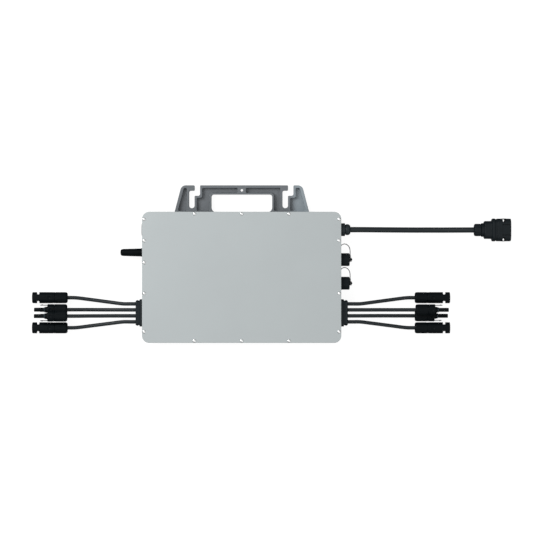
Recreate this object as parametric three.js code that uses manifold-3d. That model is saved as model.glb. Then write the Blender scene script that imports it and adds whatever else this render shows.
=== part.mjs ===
// A four-input micro string inverter, lying on its back: a finned cast housing with a screwed
// flat cover, a cast bracket with two hook slots and a hand opening, eight PV leads with their
// connectors, a mains lead with its plug, two capped data ports and a stub antenna.
// Millimetres. +X to the mains side, +Y to the bracket, +Z out of the cover. The origin is the
// middle of the back plane, on which the fins and the bracket rest.
import * as THREE from "three";
import { mergeVertices } from "three/addons/utils/BufferGeometryUtils.js";
import Module from "manifold-3d";

// Driving dimensions: enclosure
const COVER_W = 331;
const COVER_H = 218;
const DEPTH = 34.6;
const COVER_CORNER_R = 12;
const COVER_T = 2;
const SEAL_T = 0.8;
const WALL_INSET = 2.5; // the cover and the rim flange stand proud of the walls by this
const WALL_T = 3;
const FIN_H = 6.5;
const FIN_T = 2.2;
const FIN_PITCH = 12;
const FLOOR_T = 2.5;
const FLANGE_T = 2.2;
const PORT_Z = 18; // height of every gland, port and jack above the back plane
const SCREW_INSET = 3.5; // cover screws, from the cover's edge
const GAP = 0.3; // clearance between separate pieces

// Driving dimensions: bracket
const BRACKET_TOP = 153.9;
const BRACKET_T = 10;
const BRACKET_WEB_T = 3;
const BRACKET_FOOT_T = 4;
const RIM_T = 3.8;
const SLOT_W = 9.2;
const SLOT_PITCH = 156.4;
const HAND_HALF_W = 50.8;

// Driving dimensions: PV leads and connectors
const PV_Y = -59.4; // middle of both cable blocks
const LEAD_R = 3.05;
const PV_R = 9.3;
const PV_LOW_Z = 9.4; // a connector that lies on the ground
const PV_HIGH_Z = 25.4; // the one that lies on its neighbour
const PV_NUT_L = 20.3;
// How far from the middle each connector starts, in the order of one side's set
const REACH = { left: [292, 290.9, 292.6, 291.9], right: [289.7, 289.7, 289.7, 289.7] };

// Driving dimensions: mains lead, data ports, antenna
const MAINS_Y = 79.5;
const MAINS_CABLE_R = 4.5;
const PLUG_X = 388;
const PLUG_Y = 79;
const PLUG_Z = 15.8;
const DATA_Y = { upper: 29.5, lower: -9.9 };
const LEASH_R = 0.7;
const ANTENNA_Y = 41.4;

// Worked out from them
const WALL_X = COVER_W / 2 - WALL_INSET;
const WALL_Y = COVER_H / 2 - WALL_INSET;
const FLOOR_Z = FIN_H + FLOOR_T;
const RIM_Z = DEPTH - COVER_T - SEAL_T;
const COVER_Z = DEPTH - COVER_T;
const SIDES = 12; // facets round a large turned piece
const SMALL_SIDES = 8; // and round a small one

const wasm = await Module();
wasm.setup();

// ---------- materials ----------

const finish = (color, roughness, metalness) =>
  new THREE.MeshStandardMaterial({ color, roughness, metalness });
const coverSilver = finish(0xb8bfc0, 0.45, 0.6);
const castGrey = finish(0xa9aeaf, 0.6, 0.4);
const bracketGrey = finish(0x63686d, 0.55, 0.3);
const blackPlastic = finish(0x17191b, 0.5, 0);
const blackSheath = finish(0x202426, 0.6, 0);
const sealRubber = finish(0x2a2a2a, 0.9, 0);
const steelWire = finish(0xa0a4a6, 0.35, 0.9);
const brass = finish(0xc79e4d, 0.3, 1);
const boardGreen = finish(0x1f5a3a, 0.5, 0);
const ferrite = finish(0x2b2b2e, 0.8, 0);
const compound = finish(0x33312f, 0.9, 0);

// ---------- solids ----------

// A closed geometry as a solid that booleans can take.
function solidOf(geometry) {
  const bare = geometry.index ? geometry.toNonIndexed() : geometry.clone();
  bare.deleteAttribute("normal");
  bare.deleteAttribute("uv");
  const merged = mergeVertices(bare, 1e-4);
  return new wasm.Manifold(
    new wasm.Mesh({
      numProp: 3,
      vertProperties: merged.attributes.position.array,
      triVerts: new Uint32Array(merged.index.array),
    }),
  );
}

function geometryOf(solid) {
  const mesh = solid.getMesh();
  const geometry = new THREE.BufferGeometry();
  geometry.setAttribute("position", new THREE.BufferAttribute(mesh.vertProperties, 3));
  geometry.setIndex(new THREE.BufferAttribute(mesh.triVerts, 1));
  geometry.computeVertexNormals();
  return geometry;
}

const joined = (...geometries) =>
  geometryOf(geometries.map(solidOf).reduce((whole, piece) => whole.add(piece)));

const cut = (geometry, ...tools) =>
  geometryOf(tools.map(solidOf).reduce((whole, tool) => whole.subtract(tool), solidOf(geometry)));

// A rectangle with rounded corners, about (cx, cy).
function roundedRect(width, height, radius, cx = 0, cy = 0) {
  const [x, y] = [width / 2, height / 2];
  return filleted([
    [cx - x, cy - y, radius],
    [cx + x, cy - y, radius],
    [cx + x, cy + y, radius],
    [cx - x, cy + y, radius],
  ]);
}

// A closed outline through corners [x, y, fillet radius], in either direction.
function filleted(corners) {
  const shape = new THREE.Shape();
  corners.forEach(([x, y, radius], i) => {
    const here = new THREE.Vector2(x, y);
    const before = corners.at(i - 1);
    const after = corners[(i + 1) % corners.length];
    const back = new THREE.Vector2(before[0], before[1]).sub(here).normalize();
    const ahead = new THREE.Vector2(after[0], after[1]).sub(here).normalize();
    const half = Math.acos(THREE.MathUtils.clamp(back.dot(ahead), -1, 1)) / 2;
    const reach = radius / Math.tan(half);
    const inward = back.clone().add(ahead).normalize();
    const centre = inward.multiplyScalar(radius / Math.sin(half)).add(here);
    const from = back.multiplyScalar(reach).add(here);
    const to = ahead.multiplyScalar(reach).add(here);
    const a = Math.atan2(from.y - centre.y, from.x - centre.x);
    const b = Math.atan2(to.y - centre.y, to.x - centre.x);
    const turn = Math.atan2(Math.sin(b - a), Math.cos(b - a));
    if (i === 0) shape.moveTo(from.x, from.y);
    else shape.lineTo(from.x, from.y);
    shape.absarc(centre.x, centre.y, radius, a, a + turn, turn < 0);
  });
  shape.closePath();
  return shape;
}

function roundHole(x, y, radius) {
  const hole = new THREE.Path();
  hole.absarc(x, y, radius, 0, 2 * Math.PI, false);
  return hole;
}

// An outline in X and Y, pulled up along Z.
const prism = (shape, low, high, curveSegments = 2) =>
  new THREE.ExtrudeGeometry(shape, {
    depth: high - low,
    bevelEnabled: false,
    curveSegments,
  }).translate(0, 0, low);

// An outline in Y and Z, pulled along X.
const Z_TO_X = new THREE.Matrix4().set(0, 0, 1, 0, 1, 0, 0, 0, 0, 1, 0, 0, 0, 0, 0, 1);
const bar = (shape, low, high) => prism(shape, low, high).applyMatrix4(Z_TO_X);

const box = (x0, x1, y0, y1, z0, z1) =>
  new THREE.BoxGeometry(x1 - x0, y1 - y0, z1 - z0).translate((x0 + x1) / 2, (y0 + y1) / 2, (z0 + z1) / 2);

const post = (x, y, radius, low, high, sides = SMALL_SIDES) =>
  new THREE.CylinderGeometry(radius, radius, high - low, sides)
    .rotateX(Math.PI / 2)
    .translate(x, y, (low + high) / 2);

// A body of revolution about X. The profile is [along, radius] pairs, and it starts and ends on
// the axis or closes on itself.
const Y_TO_X = new THREE.Matrix4().set(0, 1, 0, 0, 0, 0, 1, 0, 1, 0, 0, 0, 0, 0, 0, 1);
function turned(profile, sides = SIDES) {
  const points = profile.map(([along, radius]) => new THREE.Vector2(radius, along));
  if (THREE.ShapeUtils.area(points) < 0) points.reverse();
  return new THREE.LatheGeometry(points, sides).applyMatrix4(Y_TO_X);
}

// A turned piece with a way through it.
const sleeve = (outside, inside, sides = SIDES) =>
  turned([...outside, ...inside.toReversed(), outside[0]], sides);

// A round cable along a smooth curve through hand-set points.
function cable(points, radius, steps, sides) {
  const section = new THREE.Shape();
  section.absarc(0, 0, radius, 0, 2 * Math.PI, false);
  return new THREE.ExtrudeGeometry(section, {
    steps,
    curveSegments: sides,
    extrudePath: new THREE.CatmullRomCurve3(points.map((p) => new THREE.Vector3(...p))),
  });
}

const inverter = new THREE.Group();

function piece(name, geometry, material, parent = inverter) {
  const mesh = new THREE.Mesh(geometry, material);
  mesh.name = name;
  parent.add(mesh);
  return mesh;
}

// ---------- enclosure ----------

// The cover's screws. The mains side has none beside the data ports.
const SCREW_X = COVER_W / 2 - SCREW_INSET;
const SCREW_Y = COVER_H / 2 - SCREW_INSET;
const coverScrews = [
  ...[-78.6, 0, 78.6].flatMap((x) => [[x, SCREW_Y], [x, -SCREW_Y]]),
  ...[96.5, 61, 24.6, -26.7, -90.3].map((y) => [-SCREW_X, y]),
  ...[96.5, 61, -26.7, -90.3].map((y) => [SCREW_X, y]),
];
const bracketScrews = [-88, -34, 34, 88].map((x) => [x, 93]);
const boardPosts = [-1, 1].flatMap((i) => [-1, 1].map((j) => [i * 138, j * 86]));

function housing() {
  const walls = prism(roundedRect(2 * WALL_X, 2 * WALL_Y, COVER_CORNER_R - WALL_INSET), FIN_H, RIM_Z);
  const flange = prism(roundedRect(COVER_W, COVER_H, COVER_CORNER_R), RIM_Z - FLANGE_T, RIM_Z);
  const cavity = prism(
    roundedRect(2 * (WALL_X - WALL_T), 2 * (WALL_Y - WALL_T), COVER_CORNER_R - WALL_INSET - WALL_T),
    FLOOR_Z,
    RIM_Z + 1,
  );
  const bosses = coverScrews.map(([x, y]) => post(x, y, SCREW_INSET, PORT_Z + 1.6, RIM_Z, 6));
  const threads = coverScrews.map(([x, y]) => post(x, y, 1.25, PORT_Z + 4, RIM_Z + 1, 4));
  const fins = [];
  for (let x = -13 * FIN_PITCH; x <= 13 * FIN_PITCH; x += FIN_PITCH)
    fins.push(box(x - FIN_T / 2, x + FIN_T / 2, -100, 76, 0, FIN_H + 0.5));
  const labelPad = box(-42, 42, -28, 28, 0, FIN_H + 0.5);
  const bracketPads = bracketScrews.map(([x, y]) => post(x, y, 6, BRACKET_FOOT_T + GAP, FIN_H + 0.5));
  const boardPads = boardPosts.map(([x, y]) => post(x, y, 3.5, FLOOR_Z - 0.5, FLOOR_Z + 4, 8));
  const round = (side, y, radius) =>
    turned([[0, 0], [0, radius], [12, radius], [12, 0]], 12).translate(side * WALL_X - 6, y, PORT_Z);
  const slot = (side) =>
    bar(roundedRect(41, 13, 5, PV_Y, PORT_Z), -6, 6).translate(side * WALL_X, 0, 0);
  return cut(
    joined(cut(joined(walls, flange), cavity), ...bosses, ...fins, labelPad, ...bracketPads, ...boardPads),
    ...threads,
    round(1, MAINS_Y, 8),
    round(1, DATA_Y.upper, 7.5),
    round(1, DATA_Y.lower, 7.5),
    round(-1, MAINS_Y, 8),
    round(-1, ANTENNA_Y, 3.5),
    slot(1),
    slot(-1),
  );
}

function cover() {
  const outline = roundedRect(COVER_W, COVER_H, COVER_CORNER_R);
  outline.holes.push(...coverScrews.map(([x, y]) => roundHole(x, y, 1.7)));
  return prism(outline, COVER_Z, DEPTH, 3);
}

function coverSeal() {
  const outline = roundedRect(COVER_W - 1, COVER_H - 1, COVER_CORNER_R - 0.5);
  outline.holes.push(
    roundedRect(2 * (WALL_X - WALL_T) - 3, 2 * (WALL_Y - WALL_T) - 3, 5),
    ...coverScrews.map(([x, y]) => roundHole(x, y, 1.9)),
  );
  return prism(outline, RIM_Z, COVER_Z, 3);
}

piece("housing", housing(), castGrey);
piece("cover", cover(), coverSilver);
piece("cover_seal", coverSeal(), sealRubber);

// A domed plug closes the spare gland hole.
const blankingPlug = turned([
  [-5, 0], [-5, 7.7], [GAP, 7.7], [GAP, 10.7], [3.2, 10.7], [4, 9.9], [4, 0],
]);
const spareHole = new THREE.Group();
spareHole.position.set(-WALL_X, MAINS_Y, PORT_Z);
spareHole.rotation.z = Math.PI;
inverter.add(spareHole);
piece("blanking_plug", blankingPlug, castGrey, spareHole);

// ---------- bracket ----------

const LEAN = 0.2635; // how far the bracket's ends lean in for each millimetre up
const BRACKET_BASE_Y = WALL_Y + 0.8;
const BRACKET_BASE_X = 113.2;
const endX = (y) => BRACKET_BASE_X - (y - BRACKET_BASE_Y) * LEAN;
const HOOK_Y = BRACKET_TOP - 8.8; // underside of a hook
const LEDGE_Y = 136.4; // foot of a slot's entrance
const SLOT_END_Y = 115.6;
const POCKET_BASE_Y = 111.3;
const POCKET_TOP_Y = BRACKET_TOP - 4.5;
const HAND_TOP_Y = 138.7;
const SLOT_FIRST_X = -88.3; // wall of the first slot, under its hook

// The hook slot that starts at x, from its hook's tip round to the far side of its entrance.
const slotEdge = (x) => [
  [x + SLOT_W, BRACKET_TOP, 1.5],
  [x + SLOT_W, HOOK_Y, 1.5],
  [x, HOOK_Y, 3],
  [x, SLOT_END_Y, SLOT_W / 2 - 0.01],
  [x + SLOT_W, SLOT_END_Y, SLOT_W / 2 - 0.01],
  [x + SLOT_W, LEDGE_Y, 1.5],
  [x + 2 * SLOT_W, LEDGE_Y, 3.5],
  [x + 2 * SLOT_W, BRACKET_TOP, 1.5],
];

// The left and upper edges of the pocket beyond the slot that starts at x, up to height top.
const pocketEdge = (x, top) => [
  [x + SLOT_W + RIM_T, POCKET_BASE_Y, 1.5],
  [x + SLOT_W + RIM_T, LEDGE_Y - RIM_T, 1.5],
  [x + 2 * SLOT_W + RIM_T, LEDGE_Y - RIM_T, 3.5],
  [x + 2 * SLOT_W + RIM_T, top, 1.5],
];

function bracket() {
  const secondX = SLOT_FIRST_X + SLOT_PITCH;
  const outline = filleted([
    [-BRACKET_BASE_X, BRACKET_BASE_Y, 1],
    [-endX(BRACKET_TOP), BRACKET_TOP, 9],
    ...slotEdge(SLOT_FIRST_X),
    ...slotEdge(secondX),
    [endX(BRACKET_TOP), BRACKET_TOP, 9],
    [BRACKET_BASE_X, BRACKET_BASE_Y, 1],
  ]);
  outline.holes.push(
    filleted([
      [-HAND_HALF_W, BRACKET_BASE_Y + 1.2, 8],
      [HAND_HALF_W, BRACKET_BASE_Y + 1.2, 8],
      [HAND_HALF_W, HAND_TOP_Y, 4],
      [-HAND_HALF_W, HAND_TOP_Y, 4],
    ]),
    roundHole(0, 145.7, 2.2),
  );
  const innerEnd = (y) => endX(y) - 5.2;
  const endTop = BRACKET_TOP - 4.5;
  const legX = HAND_HALF_W + 3.2;
  const barY = HAND_TOP_Y + 2.9;
  const pockets = [
    [
      [-innerEnd(POCKET_BASE_Y), POCKET_BASE_Y, 1.5],
      [-innerEnd(endTop), endTop, 2.5],
      [SLOT_FIRST_X - RIM_T, endTop, 2],
      [SLOT_FIRST_X - RIM_T, POCKET_BASE_Y, 1.5],
    ],
    [
      ...pocketEdge(SLOT_FIRST_X, POCKET_TOP_Y),
      [-7, POCKET_TOP_Y, 1.5],
      [-7, barY, 1.5],
      [-legX, barY, 6],
      [-legX, POCKET_BASE_Y, 1.5],
    ],
    [
      [7, barY, 1.5],
      [7, POCKET_TOP_Y, 1.5],
      [secondX - RIM_T, POCKET_TOP_Y, 1.5],
      [secondX - RIM_T, POCKET_BASE_Y, 1.5],
      [legX, POCKET_BASE_Y, 1.5],
      [legX, barY, 6],
    ],
    [
      ...pocketEdge(secondX, endTop),
      [innerEnd(endTop), endTop, 2.5],
      [innerEnd(POCKET_BASE_Y), POCKET_BASE_Y, 1.5],
    ],
  ].map((corners) => prism(filleted(corners), BRACKET_WEB_T, BRACKET_T + 1));
  const foot = filleted([
    [-104, 82, 4],
    [104, 82, 4],
    [104, BRACKET_BASE_Y + 1, 0.5],
    [-104, BRACKET_BASE_Y + 1, 0.5],
  ]);
  foot.holes.push(...bracketScrews.map(([x, y]) => roundHole(x, y, 2.7)));
  return joined(cut(prism(outline, 0, BRACKET_T), ...pockets), prism(foot, 0, BRACKET_FOOT_T, 3));
}

piece("mounting_bracket", bracket(), bracketGrey);

// ---------- inside the housing ----------

const BOARD_Z = FLOOR_Z + 4 + GAP;
const BOARD_T = 1.6;
const PARTS_Z = BOARD_Z + BOARD_T + GAP;
const board = [-146, 146, -94, 94, BOARD_Z, BOARD_Z + BOARD_T];
const transformers = [-105, -48, 9, 66].map((x) => [x, x + 44, -24, 20, PARTS_Z, PARTS_Z + 12.5]);
const CHOKE_AT = [118, 62, PARTS_Z];

function mainBoard() {
  const holes = boardPosts.map(([x, y]) => post(x, y, 1.6, BOARD_Z - 1, BOARD_Z + BOARD_T + 1, 8));
  return cut(box(...board), ...holes);
}

// A wound ring, lying flat.
const choke = new THREE.TorusGeometry(12, 4.5, 8, 16);

// The compound that seals the inside, poured round the parts up to just under their tops.
function potting() {
  const fill = prism(roundedRect(312, 202, 5), FLOOR_Z + GAP, PARTS_Z + 11);
  const grown = ([x0, x1, y0, y1, z0, z1]) =>
    box(x0 - GAP, x1 + GAP, y0 - GAP, y1 + GAP, z0 - GAP, z1 + GAP);
  const posts = boardPosts.map(([x, y]) => post(x, y, 3.9, FLOOR_Z - 1, BOARD_Z));
  const [x, y, z] = CHOKE_AT;
  const well = post(x, y, 17, z - GAP, z + 12, 16);
  return cut(fill, grown(board), ...transformers.map(grown), ...posts, well);
}

piece("main_board", mainBoard(), boardGreen);
transformers.forEach((place, i) => piece(`transformer_${i + 1}`, box(...place), ferrite));
piece("output_choke", choke, ferrite).position.set(CHOKE_AT[0], CHOKE_AT[1], CHOKE_AT[2] + 4.6);
piece("potting", potting(), compound);

// ---------- PV side: cable blocks, leads, connectors ----------

const BLOCK_END = 13.9; // how far a cable block stands out of the wall

function cableBlock() {
  const slab = (low, high, width, thickness, radius) => bar(roundedRect(width, thickness, radius), low, high);
  const body = joined(
    slab(-5, 1, 40, 12, 4.5),
    slab(GAP, 7.4, 45.4, 17, 5),
    slab(7.4, 9.8, 41.2, 14, 4.5),
    slab(9.8, 12.4, 42.6, 15, 4.8),
    slab(12.4, BLOCK_END, 40.8, 13.4, 4.5),
  );
  const bores = [-15, -5, 5, 15].map((y) =>
    turned([[7, 0], [7, LEAD_R + GAP], [15, LEAD_R + GAP], [15, 0]], SMALL_SIDES).translate(0, y, 0),
  );
  return cut(body, ...bores);
}

// The clamping nut at a connector's cable end.
const pvNut = () =>
  sleeve(
    [[0, 7.9], [1.2, PV_R], [PV_NUT_L, PV_R]],
    [[0, LEAD_R + 0.4], [7, LEAD_R + 0.4], [7, 6.9], [PV_NUT_L, 6.9]],
    SIDES,
  );

const SHELL_START = PV_NUT_L + GAP;
const PLUG_SHELL_END = 58.4;

// The shell that holds a contact pin: a socket with a sleeve, two side channels for the mating
// latches and two notches where their barbs come to rest.
function plugShell() {
  const whole = turned(
    [
      [8, 0], [8, 6.5], [SHELL_START, 6.5], [SHELL_START, PV_R],
      [PLUG_SHELL_END, PV_R], [PLUG_SHELL_END, 3.6], [30, 3.6], [30, 2], [48, 2], [48, 0],
    ],
    SIDES,
  );
  const notches = [-8.9, 8.9].map((y) => box(46.5, 51.2, y - 3.4, y + 3.4, -12, 12));
  const channels = [-7.3, 7.3].map((y) => box(40, 60, y - 1.1, y + 1.1, -3, 3));
  return cut(whole, ...notches, ...channels);
}

// The shell that holds a contact socket: a nose with a bore, between two latches.
const socketShell = () =>
  turned(
    [
      [8, 0], [8, 6.5], [SHELL_START, 6.5], [SHELL_START, PV_R],
      [32.5, PV_R], [32.5, 5], [36.4, 5], [36.4, 3.35], [55.1, 3.35], [55.1, 2.1], [40, 2.1], [40, 0],
    ],
    SIDES,
  );

// A springy latch with a barb at its tip, on the +Y side of the nose.
const LATCH_ROOT = 32.8;
const latch = () => {
  const outline = new THREE.Shape();
  outline.moveTo(LATCH_ROOT, 7);
  outline.lineTo(44.6, 7);
  outline.lineTo(44.8, 7.5);
  outline.lineTo(41.3, 8.9);
  outline.lineTo(40.7, 8.1);
  outline.lineTo(LATCH_ROOT, 8.1);
  return prism(outline, -2.6, 2.6);
};

// The leads of one side, from top to bottom as seen on the mains side. The points run out from
// the cable block, along X, with Y from the block's middle.
const LEADS = [
  {
    kind: "plug",
    y: 25.2,
    z: PV_LOW_Z,
    points: [
      [172, 15, 18], [184, 15, 17.8], [196, 15, 16.8], [203, 15.6, 15.9], [216, 17.3, 13.7],
      [235, 19.8, 10.7], [254, 22.3, 8.8], [270, 24.4, 8.5], [278, 25.1, 8.9],
      [288, 25.2, 9.4], [296, 25.2, 9.4],
    ],
  },
  {
    kind: "socket",
    y: 5.2,
    z: PV_HIGH_Z,
    points: [
      [172, 5, 18], [180, 5, 18], [196, 5, 17.8], [214, 5, 17.9], [234, 5.1, 19],
      [254, 5.1, 21.2], [270, 5.2, 23.6], [282, 5.2, 25], [290, 5.2, 25.4], [296, 5.2, 25.4],
    ],
  },
  {
    kind: "socket",
    y: -5.1,
    z: PV_LOW_Z,
    points: [
      [172, -5, 18], [180, -5, 18], [196, -5, 16.8], [214, -5, 13.7], [234, -5, 10.4],
      [254, -5.1, 8.4], [270, -5.1, 8.1], [282, -5.1, 8.9], [290, -5.1, 9.4], [296, -5.1, 9.4],
    ],
  },
  {
    kind: "plug",
    y: -25.2,
    z: PV_LOW_Z,
    points: [
      [172, -15, 18], [184, -15, 17.8], [196, -15, 16.8], [203, -15.6, 15.9], [216, -17.3, 13.7],
      [235, -19.8, 10.7], [254, -22.3, 8.8], [270, -24.4, 8.5], [278, -25.1, 8.9],
      [288, -25.2, 9.4], [296, -25.2, 9.4],
    ],
  },
];
const LEAD_FIRST_X = 172;
const LEAD_LAST_X = 296;

// Both sides are the same set. The left one is the right one turned half round, so that its
// lowest lead there is the first.
for (const side of ["right", "left"]) {
  const set = new THREE.Group();
  set.position.y = PV_Y;
  set.rotation.z = side === "right" ? 0 : Math.PI;
  inverter.add(set);
  piece(`${side}_cable_block`, cableBlock(), blackPlastic, set).position.set(WALL_X, 0, PORT_Z);
  LEADS.forEach(({ kind, y, z, points }, i) => {
    const number = side === "right" ? i + 1 : 4 - i;
    const reach = REACH[side][i];
    const stretch = (reach - REACH.right[i]) / (LEAD_LAST_X - LEAD_FIRST_X);
    const run = points.map(([px, py, pz]) => [px + stretch * (px - LEAD_FIRST_X), py, pz]);
    piece(`${side}_lead_${number}`, cable(run, LEAD_R, 13, 4), blackSheath, set);
    piece(`${side}_pv_nut_${number}`, pvNut(), blackPlastic, set).position.set(reach, y, z);
    const shell = kind === "plug" ? plugShell() : socketShell();
    piece(`${side}_pv_${kind}_${number}`, shell, blackPlastic, set).position.set(reach, y, z);
    if (kind === "plug") return;
    for (const edge of [1, -1]) {
      const upper = (edge === 1) === (side === "right");
      const arm = piece(`${side}_latch_${number}_${upper ? "upper" : "lower"}`, latch(), blackPlastic, set);
      arm.position.set(reach, y, z);
      arm.rotation.x = edge === 1 ? 0 : Math.PI;
    }
  });
}

// ---------- mains side: gland, cable, plug ----------

const glandBody = sleeve(
  [[-6, 7.7], [GAP, 7.7], [GAP, 10.1], [1, 10.8], [8.6, 10.8], [9.3, 10], [9.3, 6.6], [15, 6.6]],
  [[-6, 4.9], [15, 4.9]],
);
const glandNut = sleeve(
  [[9.8, 8.6], [10.6, 8.5], [12, 9.1], [14, 9.1], [16.5, 8.2], [18.2, 6.4]],
  [[9.8, 6.9], [15.3, 6.9], [15.3, 4.8], [18.2, 4.8]],
);
piece("mains_gland", glandBody, blackPlastic).position.set(WALL_X, MAINS_Y, PORT_Z);
piece("mains_gland_nut", glandNut, blackPlastic).position.set(WALL_X, MAINS_Y, PORT_Z);

// It leaves the gland level, comes down to the ground and rises into the plug.
const MAINS_POINTS = [
  [172, 79.5, 18], [184, 79.5, 18], [200, 79.5, 17.3], [225, 79.4, 12.6], [250, 79.3, 7.4],
  [272, 79.2, 4.9], [292, 79.1, 4.6], [312, 79.1, 4.9], [335, 79, 7.5], [358, 79, 12.2],
  [376, 79, 15.2], [388, 79, 15.8], [397.8, 79, 15.8],
];
piece("mains_cable", cable(MAINS_POINTS, MAINS_CABLE_R, 22, 4), blackSheath);

const PLUG_L = 60.4;
const PLUG_HALF_Y = 18.8;
const PLUG_HALF_Z = 15.5;
const PLUG_FLOOR = 43.2; // bottom of the plug's mouth
const plugNut = sleeve(
  [[0, 8.6], [1.2, 10.4], [11, 10.4], [11.5, 9.8]],
  [[0, 4.8], [5, 4.8], [5, 8], [11.5, 8]],
  12,
);

function plugShellMains() {
  const slab = (low, high, halfY, halfZ, radius) =>
    bar(roundedRect(2 * halfY, 2 * halfZ, radius), low, high);
  const stem = turned([[10.6, 0], [10.6, 7.6], [11.8, 7.6], [11.8, 11.4], [17, 11.4], [17, 0]]);
  const body = joined(
    stem,
    slab(16.4, 28.9, 14.8, 13, 8),
    slab(28.9, 30.4, 17, 14.4, 9),
    slab(30.4, 34.2, 18.9, PLUG_HALF_Z, 9.6),
    slab(34.2, 37.6, 18.2, 14.6, 9.4),
    slab(37.6, PLUG_L, PLUG_HALF_Y, PLUG_HALF_Z, 9.6),
  );
  const mouth = bar(roundedRect(26, 26, 7), PLUG_FLOOR, PLUG_L + 1);
  const windows = [-1, 1].map((side) => box(46, 52.2, 15.4 * side - 2.4, 15.4 * side + 2.4, -20, 20));
  return cut(body, mouth, ...windows);
}

function plugInsert() {
  const block = bar(roundedRect(20, 18, 5), PLUG_FLOOR + GAP, 56);
  const contacts = [[-5.5, 3.2], [5.5, 3.2], [0, -4.6]].map(([y, z]) =>
    turned([[49, 0], [49, 2.3], [60, 2.3], [60, 0]], SMALL_SIDES).translate(0, y, z),
  );
  return cut(block, ...contacts);
}

piece("mains_plug_nut", plugNut, blackPlastic).position.set(PLUG_X, PLUG_Y, PLUG_Z);
piece("mains_plug_shell", plugShellMains(), blackPlastic).position.set(PLUG_X, PLUG_Y, PLUG_Z);
piece("mains_plug_insert", plugInsert(), blackPlastic).position.set(PLUG_X, PLUG_Y, PLUG_Z);

// ---------- data ports, their caps and leashes ----------

const PORT_FLANGE_R = 10;
const CAP_START = 2.6;
const CAP_END = 16.9;
const CONE_START = 18.9;
const CONE_END = 21.7;

const dataPort = sleeve(
  [[-5, 7.2], [GAP, 7.2], [GAP, PORT_FLANGE_R], [2.2, PORT_FLANGE_R], [2.2, 8.1], [13.6, 8.1]],
  [[-5, 5.9], [13.6, 5.9]],
);

// A cup with a stud and a cone in the middle of its end, which hold the leash's eye.
const dustCap = turned([
  [14.6, 0], [14.6, 8.5], [CAP_START, 8.5], [CAP_START, 10.4], [CAP_START + 0.5, 10.8],
  [CAP_END - 0.8, 10.8], [CAP_END, 10], [CAP_END, 1.6], [CONE_START, 1.6], [CONE_START, 4.1], [CONE_END, 0],
]);

// The leash: an eye round the cap's stud, up over the end face, round and back to the port's
// flange. X from the wall, Y from the port's axis.
const LEASH_POINTS = [
  [17.9, 3.2, 0], [17.9, 7.5, 0], [17.9, 12.5, -0.1], [17.4, 17.8, -0.4], [15.6, 22.2, -0.8],
  [12, 25.3, -1.2], [7.8, 26.1, -1.3], [3.9, 24.4, -1.1], [1.7, 20.8, -0.7], [1.2, 15.8, -0.2],
  [1.3, PORT_FLANGE_R + GAP, 0],
];

function leash() {
  const eye = sleeve(
    [[CAP_END + GAP, 3.9], [CONE_START - GAP, 3.9]],
    [[CAP_END + GAP, 1.9], [CONE_START - GAP, 1.9]],
    8,
  );
  return joined(eye, cable(LEASH_POINTS, LEASH_R, 18, 4));
}

for (const place of ["upper", "lower"]) {
  const port = new THREE.Group();
  port.position.set(WALL_X, DATA_Y[place], PORT_Z);
  inverter.add(port);
  piece(`data_port_${place}`, dataPort, blackPlastic, port);
  piece(`dust_cap_${place}`, dustCap, blackPlastic, port);
  piece(`cap_leash_${place}`, leash(), steelWire, port);
}

// ---------- antenna ----------

const antennaJack = turned([
  [-5, 0], [-5, 3.2], [GAP, 3.2], [GAP, 6.2], [2.2, 6.2], [2.2, 3.1], [9, 3.1], [9, 0],
]);
const antennaStub = turned([
  [9.6, 0], [9.6, 3.5], [2.6, 3.5], [2.6, 7.3], [4.6, 6.7], [35.8, 5.9], [38.3, 4.9], [39.4, 3], [39.4, 0],
]);
const antennaPlace = new THREE.Group();
antennaPlace.position.set(-WALL_X, ANTENNA_Y, PORT_Z);
antennaPlace.rotation.z = Math.PI;
inverter.add(antennaPlace);
piece("antenna_jack", antennaJack, brass, antennaPlace);
piece("antenna", antennaStub, blackPlastic, antennaPlace);

export default inverter;
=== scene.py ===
import math

import bmesh
import bpy
from mathutils import Matrix, Vector


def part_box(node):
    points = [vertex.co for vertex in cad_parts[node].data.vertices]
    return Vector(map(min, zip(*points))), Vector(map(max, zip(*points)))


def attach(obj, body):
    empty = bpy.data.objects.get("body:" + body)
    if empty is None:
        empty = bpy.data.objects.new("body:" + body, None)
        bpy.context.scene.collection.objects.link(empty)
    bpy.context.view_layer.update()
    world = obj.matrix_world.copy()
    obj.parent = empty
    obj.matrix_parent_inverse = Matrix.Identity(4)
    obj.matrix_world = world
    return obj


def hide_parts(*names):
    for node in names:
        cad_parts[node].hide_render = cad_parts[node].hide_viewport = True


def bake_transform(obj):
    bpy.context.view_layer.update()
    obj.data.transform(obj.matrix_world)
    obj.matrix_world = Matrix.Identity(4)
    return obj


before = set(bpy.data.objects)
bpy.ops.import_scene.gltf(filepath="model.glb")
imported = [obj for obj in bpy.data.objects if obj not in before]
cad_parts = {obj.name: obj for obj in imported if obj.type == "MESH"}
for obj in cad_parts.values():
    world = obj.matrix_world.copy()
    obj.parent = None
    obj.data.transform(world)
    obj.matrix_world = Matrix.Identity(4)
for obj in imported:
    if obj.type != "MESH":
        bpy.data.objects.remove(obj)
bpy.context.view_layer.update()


# ---- Camera, floor and light ----
# The inverter lies on its back on a pale floor that glows a little, so that no shadow shows on
# it. The camera looks straight down on the cover. The room is bright overhead and dim at the
# sides, with one large soft lamp up on the left.

cover_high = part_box("cover")[1]
scene = bpy.context.scene
scene.view_settings.view_transform = "Standard"

CAMERA_HEIGHT = 3.2
VIEW_WIDTH = 0.8852
SENSOR = 36
camera_data = bpy.data.cameras.new("camera")
camera_data.sensor_width = SENSOR
camera_data.lens = SENSOR * CAMERA_HEIGHT / VIEW_WIDTH
camera = bpy.data.objects.new("camera", camera_data)
camera.location = (0.0413, 0.018, cover_high.z + CAMERA_HEIGHT)
scene.collection.objects.link(camera)
scene.camera = camera

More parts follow.
